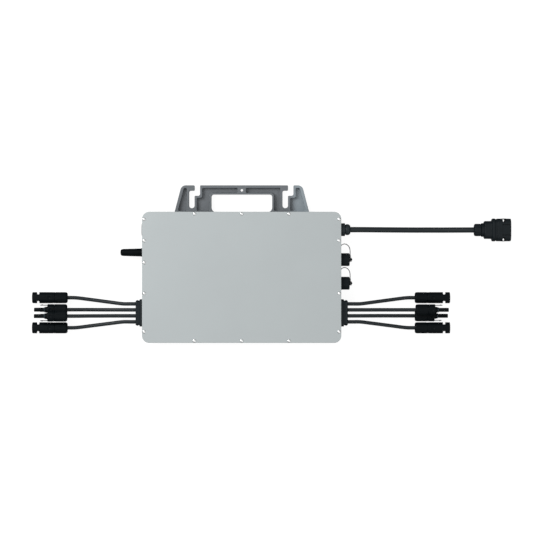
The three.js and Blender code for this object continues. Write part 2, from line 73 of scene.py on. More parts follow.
floor_mesh = bpy.data.meshes.new("floor")
floor_mesh.from_pydata([(-4, -4, 0), (4, -4, 0), (4, 4, 0), (-4, 4, 0)], [], [(0, 1, 2, 3)])
floor = bpy.data.objects.new("floor", floor_mesh)
floor.location.z = -0.0004
scene.collection.objects.link(floor)
floor_paint = bpy.data.materials.new("pale floor")
floor_paint.use_nodes = True
floor_shader = floor_paint.node_tree.nodes["Principled BSDF"]
floor_shader.inputs["Base Color"].default_value = (0.12, 0.12, 0.12, 1)
floor_shader.inputs["Roughness"].default_value = 0.9
floor_shader.inputs["Emission Color"].default_value = (1, 1, 1, 1)
floor_shader.inputs["Emission Strength"].default_value = 0.92
floor_mesh.materials.append(floor_paint)
floor.visible_glossy = False

room = bpy.data.worlds.new("room")
room.use_nodes = True
sky = room.node_tree.nodes["Background"]
sky.inputs["Color"].default_value = (1, 1, 1, 1)
outward = room.node_tree.nodes.new("ShaderNodeTexCoord")
axes = room.node_tree.nodes.new("ShaderNodeSeparateXYZ")
brightness = room.node_tree.nodes.new("ShaderNodeMapRange")
brightness.inputs["From Min"].default_value = 0.1
brightness.inputs["From Max"].default_value = 0.9
brightness.inputs["To Min"].default_value = 0.12
brightness.inputs["To Max"].default_value = 1.0
room.node_tree.links.new(outward.outputs["Generated"], axes.inputs[0])
room.node_tree.links.new(axes.outputs["Z"], brightness.inputs["Value"])
room.node_tree.links.new(brightness.outputs[0], sky.inputs["Strength"])
scene.world = room


def soft_lamp(name, place, aim, size, power):
    """A square soft lamp at one place, turned to another."""
    data = bpy.data.lights.new(name, "AREA")
    data.size = size
    data.energy = power
    lamp = bpy.data.objects.new(name, data)
    lamp.location = place
    lamp.rotation_euler = (Vector(aim) - Vector(place)).to_track_quat("-Z", "Y").to_euler()
    scene.collection.objects.link(lamp)


soft_lamp("key lamp", (-1.5, 0.9, 1.8), (0, 0, 0), 1.2, 44)
soft_lamp("fill lamp", (1.6, -1.2, 1.4), (0, 0, 0), 1.5, 8)


# ---- PV leads ----
# Four leads leave each side: tinned copper in a crosslinked black sheath, 6.1 mm thick. The
# inner two run straight and the outer two spread, and all come down to the ground but one,
# whose connector lies on its neighbour's.

MM = 0.001


class Value:
    """A number or colour that varies over a surface. Sums on values add Math nodes."""

    def __init__(self, finish, socket):
        self.finish = finish
        self.socket = socket

    def _math(self, operation, first, second):
        return self.finish.node("ShaderNodeMath", {"operation": operation}, {0: first, 1: second})

    def __add__(self, other):
        return self._math("ADD", self, other)

    def __radd__(self, other):
        return self._math("ADD", other, self)

    def __sub__(self, other):
        return self._math("SUBTRACT", self, other)

    def __rsub__(self, other):
        return self._math("SUBTRACT", other, self)

    def __mul__(self, other):
        return self._math("MULTIPLY", self, other)

    def __rmul__(self, other):
        return self._math("MULTIPLY", other, self)


class Finish:
    """A surface finish: a material whose fixed values are set here and whose nodes come after."""

    def __init__(self, name, **fixed):
        self.material = bpy.data.materials.new(name)
        self.material.use_nodes = True
        self.tree = self.material.node_tree
        self.shader = self.tree.nodes["Principled BSDF"]
        for socket, value in fixed.items():
            self.shader.inputs[socket.replace("_", " ")].default_value = value
        self.place = self.node("ShaderNodeTexCoord", output="Object")

    def node(self, kind, settings=None, values=None, output=0):
        """Adds a node, sets it up, and gives one of its outputs."""
        made = self.tree.nodes.new(kind)
        for setting, value in (settings or {}).items():
            setattr(made, setting, value)
        for socket, value in (values or {}).items():
            if isinstance(value, Value):
                self.tree.links.new(value.socket, made.inputs[socket])
            else:
                made.inputs[socket].default_value = value
        return Value(self, made.outputs[output])

    def speckle(self, size, detail=2.0):
        """Soft noise from 0 to 1, with spots of about this size in millimetres."""
        noise = {"Vector": self.place, "Scale": 1 / (size * MM), "Detail": detail}
        return self.node("ShaderNodeTexNoise", values=noise)

    def steps(self, value, low, high):
        """0 below low, 1 above high, and a smooth rise between them."""
        limits = {"Value": value, "From Min": low, "From Max": high}
        return self.node("ShaderNodeMapRange", {"interpolation_type": "SMOOTHSTEP"}, limits)

    def between(self, mask, first, second):
        """The first colour where the mask is 0 and the second where it is 1."""
        colours = {0: mask, 6: first, 7: second}
        return self.node("ShaderNodeMix", {"data_type": "RGBA"}, colours, output=2)

    def vary(self, socket, value):
        self.tree.links.new(value.socket, self.shader.inputs[socket])

    def relief(self, height, depth, strength=1.0):
        """Raises the surface by height times depth, in millimetres."""
        raised = {"Height": height, "Distance": depth * MM, "Strength": strength}
        self.vary("Normal", self.node("ShaderNodeBump", values=raised))


def grey(value, blue=1.0):
    """A colour near black or grey, with a little more or less blue."""
    return (value, value * (1 + (blue - 1) * 0.6), value * blue, 1)


def sheath():
    """Extruded cable sheath: satin black, with faint scuffs and dull, dusty patches."""
    finish = Finish("cable sheath", Specular_IOR_Level=0.25)
    patches = finish.speckle(9, 3)
    scuffs = finish.steps(finish.speckle(1.1, 4), 0.52, 0.75)
    tone = finish.between(patches, (0.007, 0.0105, 0.0125, 1), (0.011, 0.0155, 0.018, 1))
    finish.vary("Base Color", tone)
    finish.vary("Roughness", 0.36 + 0.16 * patches + 0.14 * scuffs)
    finish.relief(finish.speckle(0.5, 3), 0.03, 0.5)
    return finish


sheath_black = sheath()


def shade(mesh, smooth=38):
    """Smooth shading, but for edges sharper than an angle."""
    mesh.shade_smooth()
    mesh.set_sharp_from_angle(angle=math.radians(smooth))


def piece_of(name, mesh, finish, smooth=38):
    """A piece with its faces turned outwards."""
    faces = bmesh.new()
    faces.from_mesh(mesh)
    bmesh.ops.recalc_face_normals(faces, faces=faces.faces)
    faces.to_mesh(mesh)
    faces.free()
    shade(mesh, smooth)
    mesh.materials.append(finish.material)
    piece = bpy.data.objects.new(name, mesh)
    scene.collection.objects.link(piece)
    return piece


def faces_over(loops, closed=False, first=0):
    """Faces over loops of points. The ends are capped, or meet each other."""
    size = len(loops[0])
    count = len(loops)
    faces = []
    for i in range(count if closed else count - 1):
        here = first + i * size
        there = first + (i + 1) % count * size
        for j in range(size):
            k = (j + 1) % size
            faces.append((here + j, here + k, there + k, there + j))
    if not closed:
        faces.append(tuple(range(first, first + size)))
        faces.append(tuple(range(first + size * (count - 1), first + size * count)))
    return faces


def skin(name, loops, finish, closed=False, smooth=38):
    """A surface over loops of points in millimetres."""
    mesh = bpy.data.meshes.new(name)
    mesh.from_pydata([Vector(p) * MM for loop in loops for p in loop], [], faces_over(loops, closed))
    return piece_of(name, mesh, finish, smooth)


def curve_through(points, steps=8):
    """A smooth curve through given points, as a list of close ones."""
    places = [Vector(p) for p in points]
    places = [places[0] * 2 - places[1], *places, places[-1] * 2 - places[-2]]
    path = []
    for i in range(1, len(places) - 2):
        a, b, c, d = places[i - 1 : i + 3]
        t1 = (b - a).length ** 0.5
        t2 = t1 + (c - b).length ** 0.5
        t3 = t2 + (d - c).length ** 0.5
        for step in range(steps):
            t = t1 + (t2 - t1) * step / steps
            ab = a.lerp(b, t / t1)
            bc = b.lerp(c, (t - t1) / (t2 - t1))
            cd = c.lerp(d, (t - t2) / (t3 - t2))
            path.append(ab.lerp(bc, t / t2).lerp(bc.lerp(cd, (t - t1) / (t3 - t1)), (t - t1) / (t2 - t1)))
    path.append(places[-2])
    return path


def length_of(path):
    return sum((b - a).length for a, b in zip(path, path[1:]))


def tube(name, path, radius, finish, sides=24, strands=0, lay=1.0):
    """A cable along a path in millimetres. A rope has strands, and lay is the length of a turn."""
    loops = []
    across = Vector((0, 0, 1))
    run = 0
    for i, here in enumerate(path):
        ahead = (path[min(i + 1, len(path) - 1)] - path[max(i - 1, 0)]).normalized()
        across = (across - ahead * across.dot(ahead)).normalized()
        other = ahead.cross(across)
        loop = []
        for j in range(sides):
            angle = 2 * math.pi * j / sides
            groove = 0.13 * abs(math.sin(strands * (angle / 2 - math.pi * run / lay))) if strands else 0.13
            reach = radius * (0.87 + groove)
            loop.append(here + across * reach * math.cos(angle) + other * reach * math.sin(angle))
        loops.append(loop)
        if i + 1 < len(path):
            run += (path[i + 1] - here).length
    return skin(name, loops, finish)


def work_in(piece):
    """Works a piece's modifiers into its mesh."""
    bpy.context.view_layer.update()
    evaluated = piece.evaluated_get(bpy.context.evaluated_depsgraph_get())
    mesh = bpy.data.meshes.new_from_object(evaluated)
    piece.modifiers.clear()
    piece.data = mesh


def fit(piece, body, slot, *nodes):
    """The piece moves with a body and stands for the nodes named. The slot is not used."""
    even = piece.modifiers.new("flats stay flat", "WEIGHTED_NORMAL")
    even.keep_sharp = True
    work_in(piece)
    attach(piece, body)
    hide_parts(*nodes)
    return piece


PV_LEAD_D = 6.1
PV_FIRST_X = 172
PV_LAST_X = 296
PV_MIDDLE_Y = -59.4
PV_ROUTES = [
    [
        (172, 15, 18), (184, 15, 17.8), (196, 15, 16.8), (203, 15.6, 15.9), (216, 17.3, 13.7),
        (235, 19.8, 10.7), (254, 22.3, 8.8), (270, 24.4, 8.5), (278, 25.1, 8.9),
        (288, 25.2, 9.4), (296, 25.2, 9.4),
    ],
    [
        (172, 5, 18), (180, 5, 18), (196, 5, 17.8), (214, 5, 17.9), (234, 5.1, 19),
        (254, 5.1, 21.2), (270, 5.2, 23.6), (282, 5.2, 25), (290, 5.2, 25.4), (296, 5.2, 25.4),
    ],
    [
        (172, -5, 18), (180, -5, 18), (196, -5, 16.8), (214, -5, 13.7), (234, -5, 10.4),
        (254, -5.1, 8.4), (270, -5.1, 8.1), (282, -5.1, 8.9), (290, -5.1, 9.4), (296, -5.1, 9.4),
    ],
    [
        (172, -15, 18), (184, -15, 17.8), (196, -15, 16.8), (203, -15.6, 15.9), (216, -17.3, 13.7),
        (235, -19.8, 10.7), (254, -22.3, 8.8), (270, -24.4, 8.5), (278, -25.1, 8.9),
        (288, -25.2, 9.4), (296, -25.2, 9.4),
    ],
]


def round_ring(x, radius, sides=72, flutes=0, depth=0.0, flat=None):
    """A loop about the X axis, with grip flutes or with flats above and below."""
    loop = []
    for j in range(sides):
        angle = 2 * math.pi * j / sides
        reach = radius - depth * max(0.0, math.cos(flutes * angle)) ** 2
        z = reach * math.sin(angle)
        if flat is not None:
            z = max(-flat, min(flat, z))
        loop.append((x, reach * math.cos(angle), z))
    return loop


def circle(radius, sides):
    """A round outline in X and Y."""
    return [(x, y) for _, x, y in round_ring(0, radius, sides)]


def round_rings(*rows, sides=72):
    """Loops about the X axis, one for each row of place, radius, flutes, their depth and flat."""
    return [round_ring(x, radius, sides, *rest) for x, radius, *rest in rows]


def set_at(piece, x, y, z, left=False, turn=0.0):
    """Puts a piece made about the X axis in its place, in metres. A left one points to -X."""
    half_turn = Matrix.Rotation(math.pi, 4, "Z") if left else Matrix.Identity(4)
    piece.matrix_world = Matrix.Translation((x, y, z)) @ half_turn @ Matrix.Rotation(turn, 4, "X")
    return piece


# ---- PV connectors ----
# Each lead ends in a moulded black connector, with a clamping nut over its cable seal. The
# plugs have a wide shell round a contact pin, and the sockets a slim nose between two latches.


def moulded(name, dark, light, grain=0.35, roughness=0.4, shine=0.2):
    """Moulded plastic: a fine spark-eroded texture, faint flow marks and light handling wear."""
    finish = Finish(name, Specular_IOR_Level=shine)
    flow = finish.speckle(14, 3)
    worn = finish.steps(finish.speckle(2.6, 5), 0.55, 0.8)
    finish.vary("Base Color", finish.between(flow, grey(dark, 2), grey(light, 1.9)))
    finish.vary("Roughness", roughness + 0.12 * flow - 0.08 * worn)
    finish.relief(finish.speckle(grain, 2) + 0.4 * flow, 0.04, 0.6)
    return finish


def plated(name, colour, roughness=0.22, grain=0.4):
    """Bright plated metal, with fine turning marks and dull spots."""
    finish = Finish(name, Metallic=1.0)
    spots = finish.speckle(1.5, 4)
    finish.vary("Base Color", finish.between(spots, colour, tuple(c * 0.82 for c in colour[:3]) + (1,)))
    finish.vary("Roughness", roughness + 0.15 * spots)
    finish.relief(finish.speckle(grain, 3), 0.015, 0.4)
    return finish


connector_black = moulded("connector plastic", 0.0018, 0.0034, shine=0.06)
contact_tin = plated("tinned contact", (0.78, 0.76, 0.7, 1))
seal_ring_grey = moulded("seal ring", 0.02, 0.03, roughness=0.55)


def work(piece, operation, *tools):
    """Cuts the tools out of a piece, or joins them to it, and uses them up."""
    for tool in tools:
        change = piece.modifiers.new("work", "BOOLEAN")
        change.operation = operation
        change.solver = "EXACT"
        change.object = tool
        work_in(piece)
        bpy.data.objects.remove(tool)
    shade(piece.data)
    return piece


def ease(piece, width, segments=2, angle=40):
    """Rounds a piece's sharp edges by a width in millimetres."""
    rounding = piece.modifiers.new("eased edges", "BEVEL")
    rounding.width = width * MM
    rounding.segments = segments
    rounding.limit_method = "ANGLE"
    rounding.angle_limit = math.radians(angle)
    work_in(piece)
    shade(piece.data)
    return piece


def ball_loops(x, y, z, rx, ry, rz, sides=28):
    """Loops of an egg-shaped cutter for a shallow dish, sizes in millimetres."""
    loops = []
    for i in range(1, 14):
        angle = math.pi * i / 14
        reach = math.sin(angle)
        loop = []
        for j in range(sides):
            turn = 2 * math.pi * j / sides
            across = (x + rx * reach * math.cos(turn), y + ry * reach * math.sin(turn))
            loop.append((*across, z - rz * math.cos(angle)))
        loops.append(loop)
    return loops


def rounded_outline(corners, steps=6):
    """A closed outline through corners (x, y, radius), each rounded by an arc."""
    points = []
    for i, (x, y, radius) in enumerate(corners):
        here = Vector((x, y))
        back = (Vector(corners[i - 1][:2]) - here).normalized()
        ahead = (Vector(corners[(i + 1) % len(corners)][:2]) - here).normalized()
        half = back.angle(ahead) / 2
        centre = here + (back + ahead).normalized() * radius / math.sin(half)
        start = here + back * radius / math.tan(half) - centre
        end = here + ahead * radius / math.tan(half) - centre
        turn = math.atan2(start.x * end.y - start.y * end.x, start.dot(end))
        for step in range(steps + 1):
            angle = turn * step / steps
            cos, sin = math.cos(angle), math.sin(angle)
            points.append(
                (
                    centre.x + start.x * cos - start.y * sin,
                    centre.y + start.x * sin + start.y * cos,
                )
            )
    return points


def rounded_box(x0, x1, y0, y1, radius, steps=6):
    return rounded_outline([(x0, y0, radius), (x1, y0, radius), (x1, y1, radius), (x0, y1, radius)], steps)


def inset(outline, distance):
    """The outline moved inwards by a distance, or outwards by a negative one."""
    following = outline[1:] + outline[:1]
    area = sum(x0 * y1 - x1 * y0 for (x0, y0), (x1, y1) in zip(outline, following))
    turn = 1 if area > 0 else -1
    moved = []
    for i, point in enumerate(outline):
        here = Vector(point)
        back = (here - Vector(outline[i - 1])).normalized()
        ahead = (Vector(following[i]) - here).normalized()
        along = (back + ahead).normalized()
        inwards = Vector((-along.y, along.x)) * turn
        moved.append(here + inwards * distance / max(0.5, along.dot(back)))
    return moved


def walls(name, outline, profile, finish, smooth=38):
    """An outline in X and Y taken up through heights, each with how far it is set in there."""
    return skin(name, [[(*p, z) for p in inset(outline, by)] for z, by in profile], finish, smooth=smooth)


NUT_L = 20.3
PV_R = 9.3
PV_FLAT = 8.75
SHELL_X = NUT_L + 0.3
LATCH_X = 32.8
PLUG_TIP_X = 58.4
NOSE_TIP_X = 55.1
PV_GRIP = [
    (8, 6.5), (SHELL_X, 6.5), (SHELL_X, 8.7), (SHELL_X + 0.5, 9.2, 0, 0, PV_FLAT),
    (SHELL_X + 0.9, PV_R, 0, 0, PV_FLAT), (22.6, PV_R, 0, 0, PV_FLAT),
    (22.9, 9, 0, 0, PV_FLAT - 0.3), (23.6, 9, 0, 0, PV_FLAT - 0.3), (23.9, PV_R, 0, 0, PV_FLAT),
]


def pv_nut(name):
    """A clamping nut with sixteen grip flutes, bevelled at its cable end."""
    sides = 128
    loops = round_rings(
        (0, 4.2), (0, 7.4), (0.3, 8.1), (1.5, 8.9, 16, 0.1), (2.6, 9.2, 16, 0.4, PV_FLAT),
        (4, PV_R, 16, 0.55, PV_FLAT), (15.6, PV_R, 16, 0.55, PV_FLAT),
        (17, PV_R, 16, 0.15, PV_FLAT), (17.4, PV_R, 0, 0, PV_FLAT), (19.8, PV_R, 0, 0, PV_FLAT),
        (NUT_L, 8.8), (NUT_L, 7.1), (NUT_L - 0.3, 6.9), (7, 6.9), (6.5, 3.5), (0.8, 3.5),
        sides=sides,
    )
    return skin(name, loops, connector_black, closed=True)


def pv_plug(name):
    """A plug's shell, with a dished grip, latch channels and a notch on each side."""
    loops = round_rings(
        *PV_GRIP,
        (45.8, PV_R, 0, 0, PV_FLAT), (52, PV_R, 0, 0, PV_FLAT), (57.6, PV_R, 0, 0, PV_FLAT),
        (58.2, 9, 0, 0, PV_FLAT - 0.3), (PLUG_TIP_X, 8.5), (PLUG_TIP_X, 4.2), (58.1, 3.7), (57.1, 3.6),
        (30, 3.6),
    )
    shell = skin(name, loops, connector_black)
    tools = []
    for side in (-1, 1):
        inner, outer = sorted((side * 5.5, side * 13))
        notch = rounded_box(46.5, 51.2, inner, outer, 0.9)
        tools.append(walls("notch", notch, [(-13, 0), (13, 0)], connector_black))
        inner, outer = sorted((side * 6.25, side * 8.35))
        channel = rounded_box(40, 60, inner, outer, 0.4)
        tools.append(walls("channel", channel, [(-2.9, 0), (2.9, 0)], connector_black))
        tools.append(skin("dish", ball_loops(29.8, 0, side * 11.4, 4.6, 4.4, 3.6), connector_black))
    return work(shell, "DIFFERENCE", *tools)


def pv_socket(name):
    """A socket's shell: a dished grip, a collar and the nose that holds the contact."""
    loops = round_rings(
        *PV_GRIP,
        (31.6, PV_R, 0, 0, PV_FLAT), (32.3, 8.9, 0, 0, PV_FLAT - 0.3), (32.5, 8.3), (32.5, 5.6),
        (32.8, 5.1), (33.3, 5), (35.7, 5), (36.2, 4.8), (36.4, 4.2), (36.4, 3.6), (36.7, 3.35),
        (54.3, 3.35), (54.9, 3.15), (NOSE_TIP_X, 2.8), (NOSE_TIP_X, 2.4), (54.8, 2.1), (40, 2.1),
    )
    shell = skin(name, loops, connector_black)
    dishes = [
        skin("dish", ball_loops(27.6, 0, side * 11.4, 3.4, 4.4, 3.6), connector_black)
        for side in (-1, 1)
    ]
    return work(shell, "DIFFERENCE", *dishes)


def latch(name):
    """A springy latch with a barbed tip, on the +Y side of a socket's nose."""
    outline = [
        (LATCH_X, 7), (43.8, 7), (44.5, 7.1), (44.8, 7.45), (44.5, 7.75), (41.6, 8.8),
        (41.2, 8.85), (40.95, 8.6), (40.8, 8.2), (40.5, 8.05), (34.2, 8.05), (33.6, 8.2), (LATCH_X, 8.2),
    ]
    piece = skin(name, [[(x, y, z) for x, y in outline] for z in (-2.6, 2.6)], connector_black)
    return ease(piece, 0.18)


def contact_pin(name):
    """A turned contact pin with a rounded tip."""
    radii = [(29.5, 2), (45.5, 2), (46.8, 1.8), (47.6, 1.35), (48, 0.7), (48.1, 0.1)]
    return skin(name, round_rings(*radii, sides=28), contact_tin)


def contact_cup(name):
    """The mouth of a contact socket inside the nose."""
    radii = [(39.8, 2.05), (52.4, 2.05), (52.7, 1.9), (52.7, 1.55), (52.4, 1.4), (40.5, 1.4)]
    return skin(name, round_rings(*radii, sides=28), contact_tin)


def nose_ring(name):
    """The rubber ring that seals a mated pair, at the foot of the nose."""
    loops = []
    for i in range(12):
        angle = 2 * math.pi * i / 12
        loops.append(round_ring(37.5 + 0.75 * math.cos(angle), 3.75 + 0.75 * math.sin(angle), 40))
    return skin(name, loops, seal_ring_grey, closed=True)


for side in ("right", "left"):
    left = side == "left"
    sign = -1 if left else 1
    for i, route in enumerate(PV_ROUTES):
        number = 4 - i if left else i + 1
        lead_node = f"{side}_lead_{number}"
        nut_node = f"{side}_pv_nut_{number}"
        nut_low, nut_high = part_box(nut_node)
        end_x = nut_high.x if left else nut_low.x
        y = (nut_low.y + nut_high.y) / 2
        z = (nut_low.z + nut_high.z) / 2
        stretch = (max(abs(v) for v in (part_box(lead_node)[0].x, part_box(lead_node)[1].x)) / MM - PV_LAST_X)
        path = curve_through(
            [
                (
                    sign * (px + stretch * (px - PV_FIRST_X) / (PV_LAST_X - PV_FIRST_X)),
                    PV_MIDDLE_Y + sign * py,
                    pz,
                )
                for px, py, pz in route
            ]
        )
        lead = fit(
            tube(f"pv_{lead_node}", path, PV_LEAD_D / 2, sheath_black),
            "enclosure", "cable_sheath", lead_node,
        )
        nut = set_at(pv_nut(f"{nut_node}_grip"), end_x, y, z, left)
        fit(nut, nut_node, "black_plastic", nut_node)
        kind = "plug" if i in (0, 3) else "socket"
        shell_node = f"{side}_pv_{kind}_{number}"
        make_shell = pv_plug if kind == "plug" else pv_socket
        shell = fit(
            set_at(make_shell(f"{shell_node}_shell"), end_x, y, z, left),
            "enclosure", "black_plastic", shell_node,
        )
        make_contact = contact_pin if kind == "plug" else contact_cup
        contact = set_at(make_contact(f"{shell_node}_contact"), end_x, y, z, left)
        fit(contact, "enclosure", "leash_wire")
        if kind == "socket":
            ring = set_at(nose_ring(f"{shell_node}_seal"), end_x, y, z, left)
            fit(ring, "enclosure", "seal_rubber")
            for place in ("upper", "lower"):
                arm_node = f"{side}_latch_{number}_{place}"
                over = (place == "upper") != left
                arm = set_at(latch(f"{arm_node}_arm"), end_x, y, z, left, 0 if over else math.pi)
                fit(arm, arm_node, "black_plastic", arm_node)
        [v * MM for v in path[0]]
        length_of(path) * MM
        [p * MM for p in path]


# ---- Mains lead ----
# A three-core lead in a 9 mm black sheath comes out of the gland at cover height, sinks to the
# ground and rises again into the plug, which lies on its back.

MAINS_LEAD_D = 9
MAINS_ROUTE = [
    (172, 79.5, 18), (184, 79.5, 18), (200, 79.5, 17.3), (225, 79.4, 12.6), (250, 79.3, 7.4),
    (272, 79.2, 4.9), (292, 79.1, 4.6), (312, 79.1, 4.9), (335, 79, 7.5), (358, 79, 12.2),
    (376, 79, 15.2), (388, 79, 15.8), (397.8, 79, 15.8),
]
mains_path = curve_through(MAINS_ROUTE)
mains_lead = fit(
    tube("mains_lead", mains_path, MAINS_LEAD_D / 2, sheath_black, sides=36),
    "enclosure", "cable_sheath", "mains_cable",
)


# ---- Mains plug ----
# The plug is a moulded black shell with a wide rim, a window on each side for the mating
# connector's latches, and a block with three sleeve contacts. A nut clamps the cable seal.

plug_low, plug_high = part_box("mains_plug_shell")
plug_nut_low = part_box("mains_plug_nut")[0]
plug_axis = (plug_nut_low.x, (plug_low.y + plug_high.y) / 2, (plug_low.z + plug_high.z) / 2)
PLUG_HALF_Y = 18.8
PLUG_HALF_Z = 15.5
PLUG_RIM_Y = 19
PLUG_END = 60.4
MOUTH_HALF = 13
MOUTH_FLOOR = 43.2
PANEL_X = (45.8, 58.8)
PANEL_HALF_Y = 9.6
GROOVE_Y = 7.7
GROOVE_DEPTH = 1.9
plug_black = moulded("plug plastic", 0.0038, 0.0068, grain=0.45, shine=0.15)


def oblong_ring(x, half_y, half_z, radius, steps=6):
    """A rounded oblong loop about the X axis."""
    return [(x, y, z) for y, z in rounded_box(-half_y, half_y, -half_z, half_z, radius, steps)]


def oblong_rings(*rows):
    """Oblong loops, one for each row of place, half sizes and corner radius."""
    return [oblong_ring(*row) for row in rows]


def round_as_oblong(x, radius):
    """A circle with as many points as an oblong loop."""
    return oblong_ring(x, radius, radius, radius - 0.01)


def plug_shell():
    grown = [(44, 0), (46, 0.15), (49, 0.25), (52, 0.15), (54, 0)]
    loops = [
        round_as_oblong(10.6, 7.6),
        round_as_oblong(11.8, 7.6),
        round_as_oblong(11.8, 10.8),
        round_as_oblong(12.3, 11.4),
        round_as_oblong(15.8, 11.4),
        oblong_ring(16.3, 12.6, 12, 8.6),
        oblong_ring(16.9, 13.9, 12.6, 8),
        oblong_ring(17.8, 14.8, 13, 8),
        oblong_ring(28.3, 14.9, 13, 8),
        oblong_ring(28.9, 15.4, 13.3, 8.4),
        oblong_ring(29.7, 17.4, 14.5, 9),
        oblong_ring(30.2, 18.6, 15.2, 9.4),
        oblong_ring(30.9, PLUG_RIM_Y, PLUG_HALF_Z, 9.6),
        oblong_ring(33.6, PLUG_RIM_Y, PLUG_HALF_Z, 9.6),
        oblong_ring(34.3, 18.6, 15.2, 9.4),
        oblong_ring(34.8, 18.1, 14.5, 9.2),
        oblong_ring(37.2, 18.1, 14.5, 9.2),
        oblong_ring(37.8, 18.5, 15.2, 9.4),
        oblong_ring(38.4, PLUG_HALF_Y, PLUG_HALF_Z, 9.6),
        *[oblong_ring(x, PLUG_HALF_Y + more, PLUG_HALF_Z, 9.6) for x, more in grown],
        oblong_ring(PLUG_END - 0.8, PLUG_HALF_Y, PLUG_HALF_Z, 9.6),
        oblong_ring(PLUG_END - 0.3, PLUG_HALF_Y - 0.2, 15.3, 9.4),
        oblong_ring(PLUG_END, PLUG_HALF_Y - 0.7, 14.8, 9),
        oblong_ring(PLUG_END, 13.7, 13.7, 7.6),
        oblong_ring(PLUG_END - 0.3, 13.2, 13.2, 7.1),
        oblong_ring(PLUG_END - 1, MOUTH_HALF, MOUTH_HALF, 7),
        oblong_ring(MOUTH_FLOOR, MOUTH_HALF, MOUTH_HALF, 7),
    ]
    shell = skin("mains_plug_body", loops, plug_black)
    tools = []
    for side in (-1, 1):
        window = [(46, 17.8, 1.1), (52.4, 17.8, 1.4), (50.2, 12.4, 0.9), (47.2, 12.4, 0.9)]
        outline = rounded_outline([(x, side * y, radius) for x, y, radius in window])
        tools.append(walls("window", outline, [(-20, 0), (20, 0)], plug_black))
        panel = rounded_box(*PANEL_X, -PANEL_HALF_Y, PANEL_HALF_Y, 0.8)
        levels = sorted((side * (PLUG_HALF_Z - 0.5), side * 20))
        tools.append(walls("panel", panel, [(z, 0) for z in levels], plug_black))
        for edge in (-1, 1):
            line = sorted((edge * GROOVE_Y, edge * PANEL_HALF_Y))
            groove = rounded_box(*PANEL_X, *line, 0.6, 3)
            levels = sorted((side * (PLUG_HALF_Z - GROOVE_DEPTH), side * 20))
            tools.append(walls("groove", groove, [(z, 0) for z in levels], plug_black))
    return work(shell, "DIFFERENCE", *tools)


def plug_nut():
    """The clamping nut, with twelve soft facets and a shoulder at each end."""
    sides = 96
    loops = round_rings(
        (0, 5.6), (0, 8.2), (0.4, 9), (1.1, 10, 12, 0.1), (1.8, 10.3, 12, 0.35),
        (2.6, 10.4, 12, 0.4), (9.9, 10.4, 12, 0.4), (10.5, 10.3, 12, 0.15), (11.1, 10.1),
        (11.5, 9.5), (11.5, 8), (5, 8), (5, 4.8), (0.7, 4.8),
        sides=sides,
    )
    return skin("mains_plug_clamp", loops, plug_black, closed=True)


def plug_block():
    """The block in the plug's mouth, with a deep bore for each of its three contacts."""
    loops = oblong_rings(
        (MOUTH_FLOOR + 0.3, 10, 9, 5), (55.2, 10, 9, 5), (55.8, 9.7, 8.7, 4.7), (56, 9.2, 8.2, 4.4),
    )
    block = skin("mains_plug_block", loops, plug_black)
    bores = []
    for y, z in CONTACT_PLACES:
        bores.append(skin("bore", [round_ring(x, 2.3, 28) for x in (49, 60)], plug_black))
        bores[-1].data.transform(Matrix.Translation((0, y * MM, z * MM)))
    return work(block, "DIFFERENCE", *bores)


def plug_contact(name, y, z):
    """A rolled sleeve contact at the bottom of its bore."""
    radii = [(49.2, 2.1), (54.4, 2.1), (54.7, 1.95), (54.7, 1.6), (54.4, 1.5), (50, 1.5)]
    contact = skin(name, round_rings(*radii, sides=28), contact_tin)
    contact.data.transform(Matrix.Translation((0, y * MM, z * MM)))
    return contact


CONTACT_PLACES = [(-5.5, 3.2), (5.5, 3.2), (0, -4.6)]
on_mains = [
    fit(set_at(plug_nut(), *plug_axis), "mains_plug_nut", "black_plastic", "mains_plug_nut"),
    fit(set_at(plug_shell(), *plug_axis), "enclosure", "black_plastic", "mains_plug_shell"),
    fit(set_at(plug_block(), *plug_axis), "enclosure", "black_plastic", "mains_plug_insert"),
]
for i, (y, z) in enumerate(CONTACT_PLACES):
    contact = set_at(plug_contact(f"mains_plug_contact_{i + 1}", y, z), *plug_axis)
    on_mains.append(fit(contact, "enclosure", "leash_wire"))
seal_loops = []
for i in range(12):
    angle = 2 * math.pi * i / 12
    grown = 0.9 * math.sin(angle)
    seal_loops.append(oblong_ring(45.6 + 0.9 * math.cos(angle), 10.9 + grown, 9.9 + grown, 5.9 + grown))
plug_seal = skin("mains_plug_seal", seal_loops, seal_ring_grey, closed=True)
on_mains.append(fit(set_at(plug_seal, *plug_axis), "enclosure", "seal_rubber"))
[v * MM for v in mains_path[0]]
length_of(mains_path) * MM
[p * MM for p in mains_path]


# ---- Cap leashes ----
# Each dust cap hangs on a short stranded steel wire. One end is clamped behind the port's
# flange, and a crimped eye at the other turns on the stud in the middle of the cap.

LEASH_D = 1.4
LEASH_ROUTE = [
    (17.9, 3.2, 0), (17.9, 7.5, 0), (17.9, 12.5, -0.1), (17.4, 17.8, -0.4), (15.6, 22.2, -0.8),
    (12, 25.3, -1.2), (7.8, 26.1, -1.3), (3.9, 24.4, -1.1), (1.7, 20.8, -0.7), (1.2, 15.8, -0.2),
    (1.3, 10.3, 0),
]
EYE_X = 17.9
wire_steel = plated("leash wire", (0.2, 0.205, 0.21, 1), roughness=0.35)


def leash_eye(name):
    """The eye on the cap's stud, flattened a little."""
    loops = []
    for i in range(12):
        angle = 2 * math.pi * i / 12
        loops.append(round_ring(EYE_X + 0.65 * math.cos(angle), 2.9 + 0.9 * math.sin(angle), 36))
    return skin(name, loops, wire_steel, closed=True)


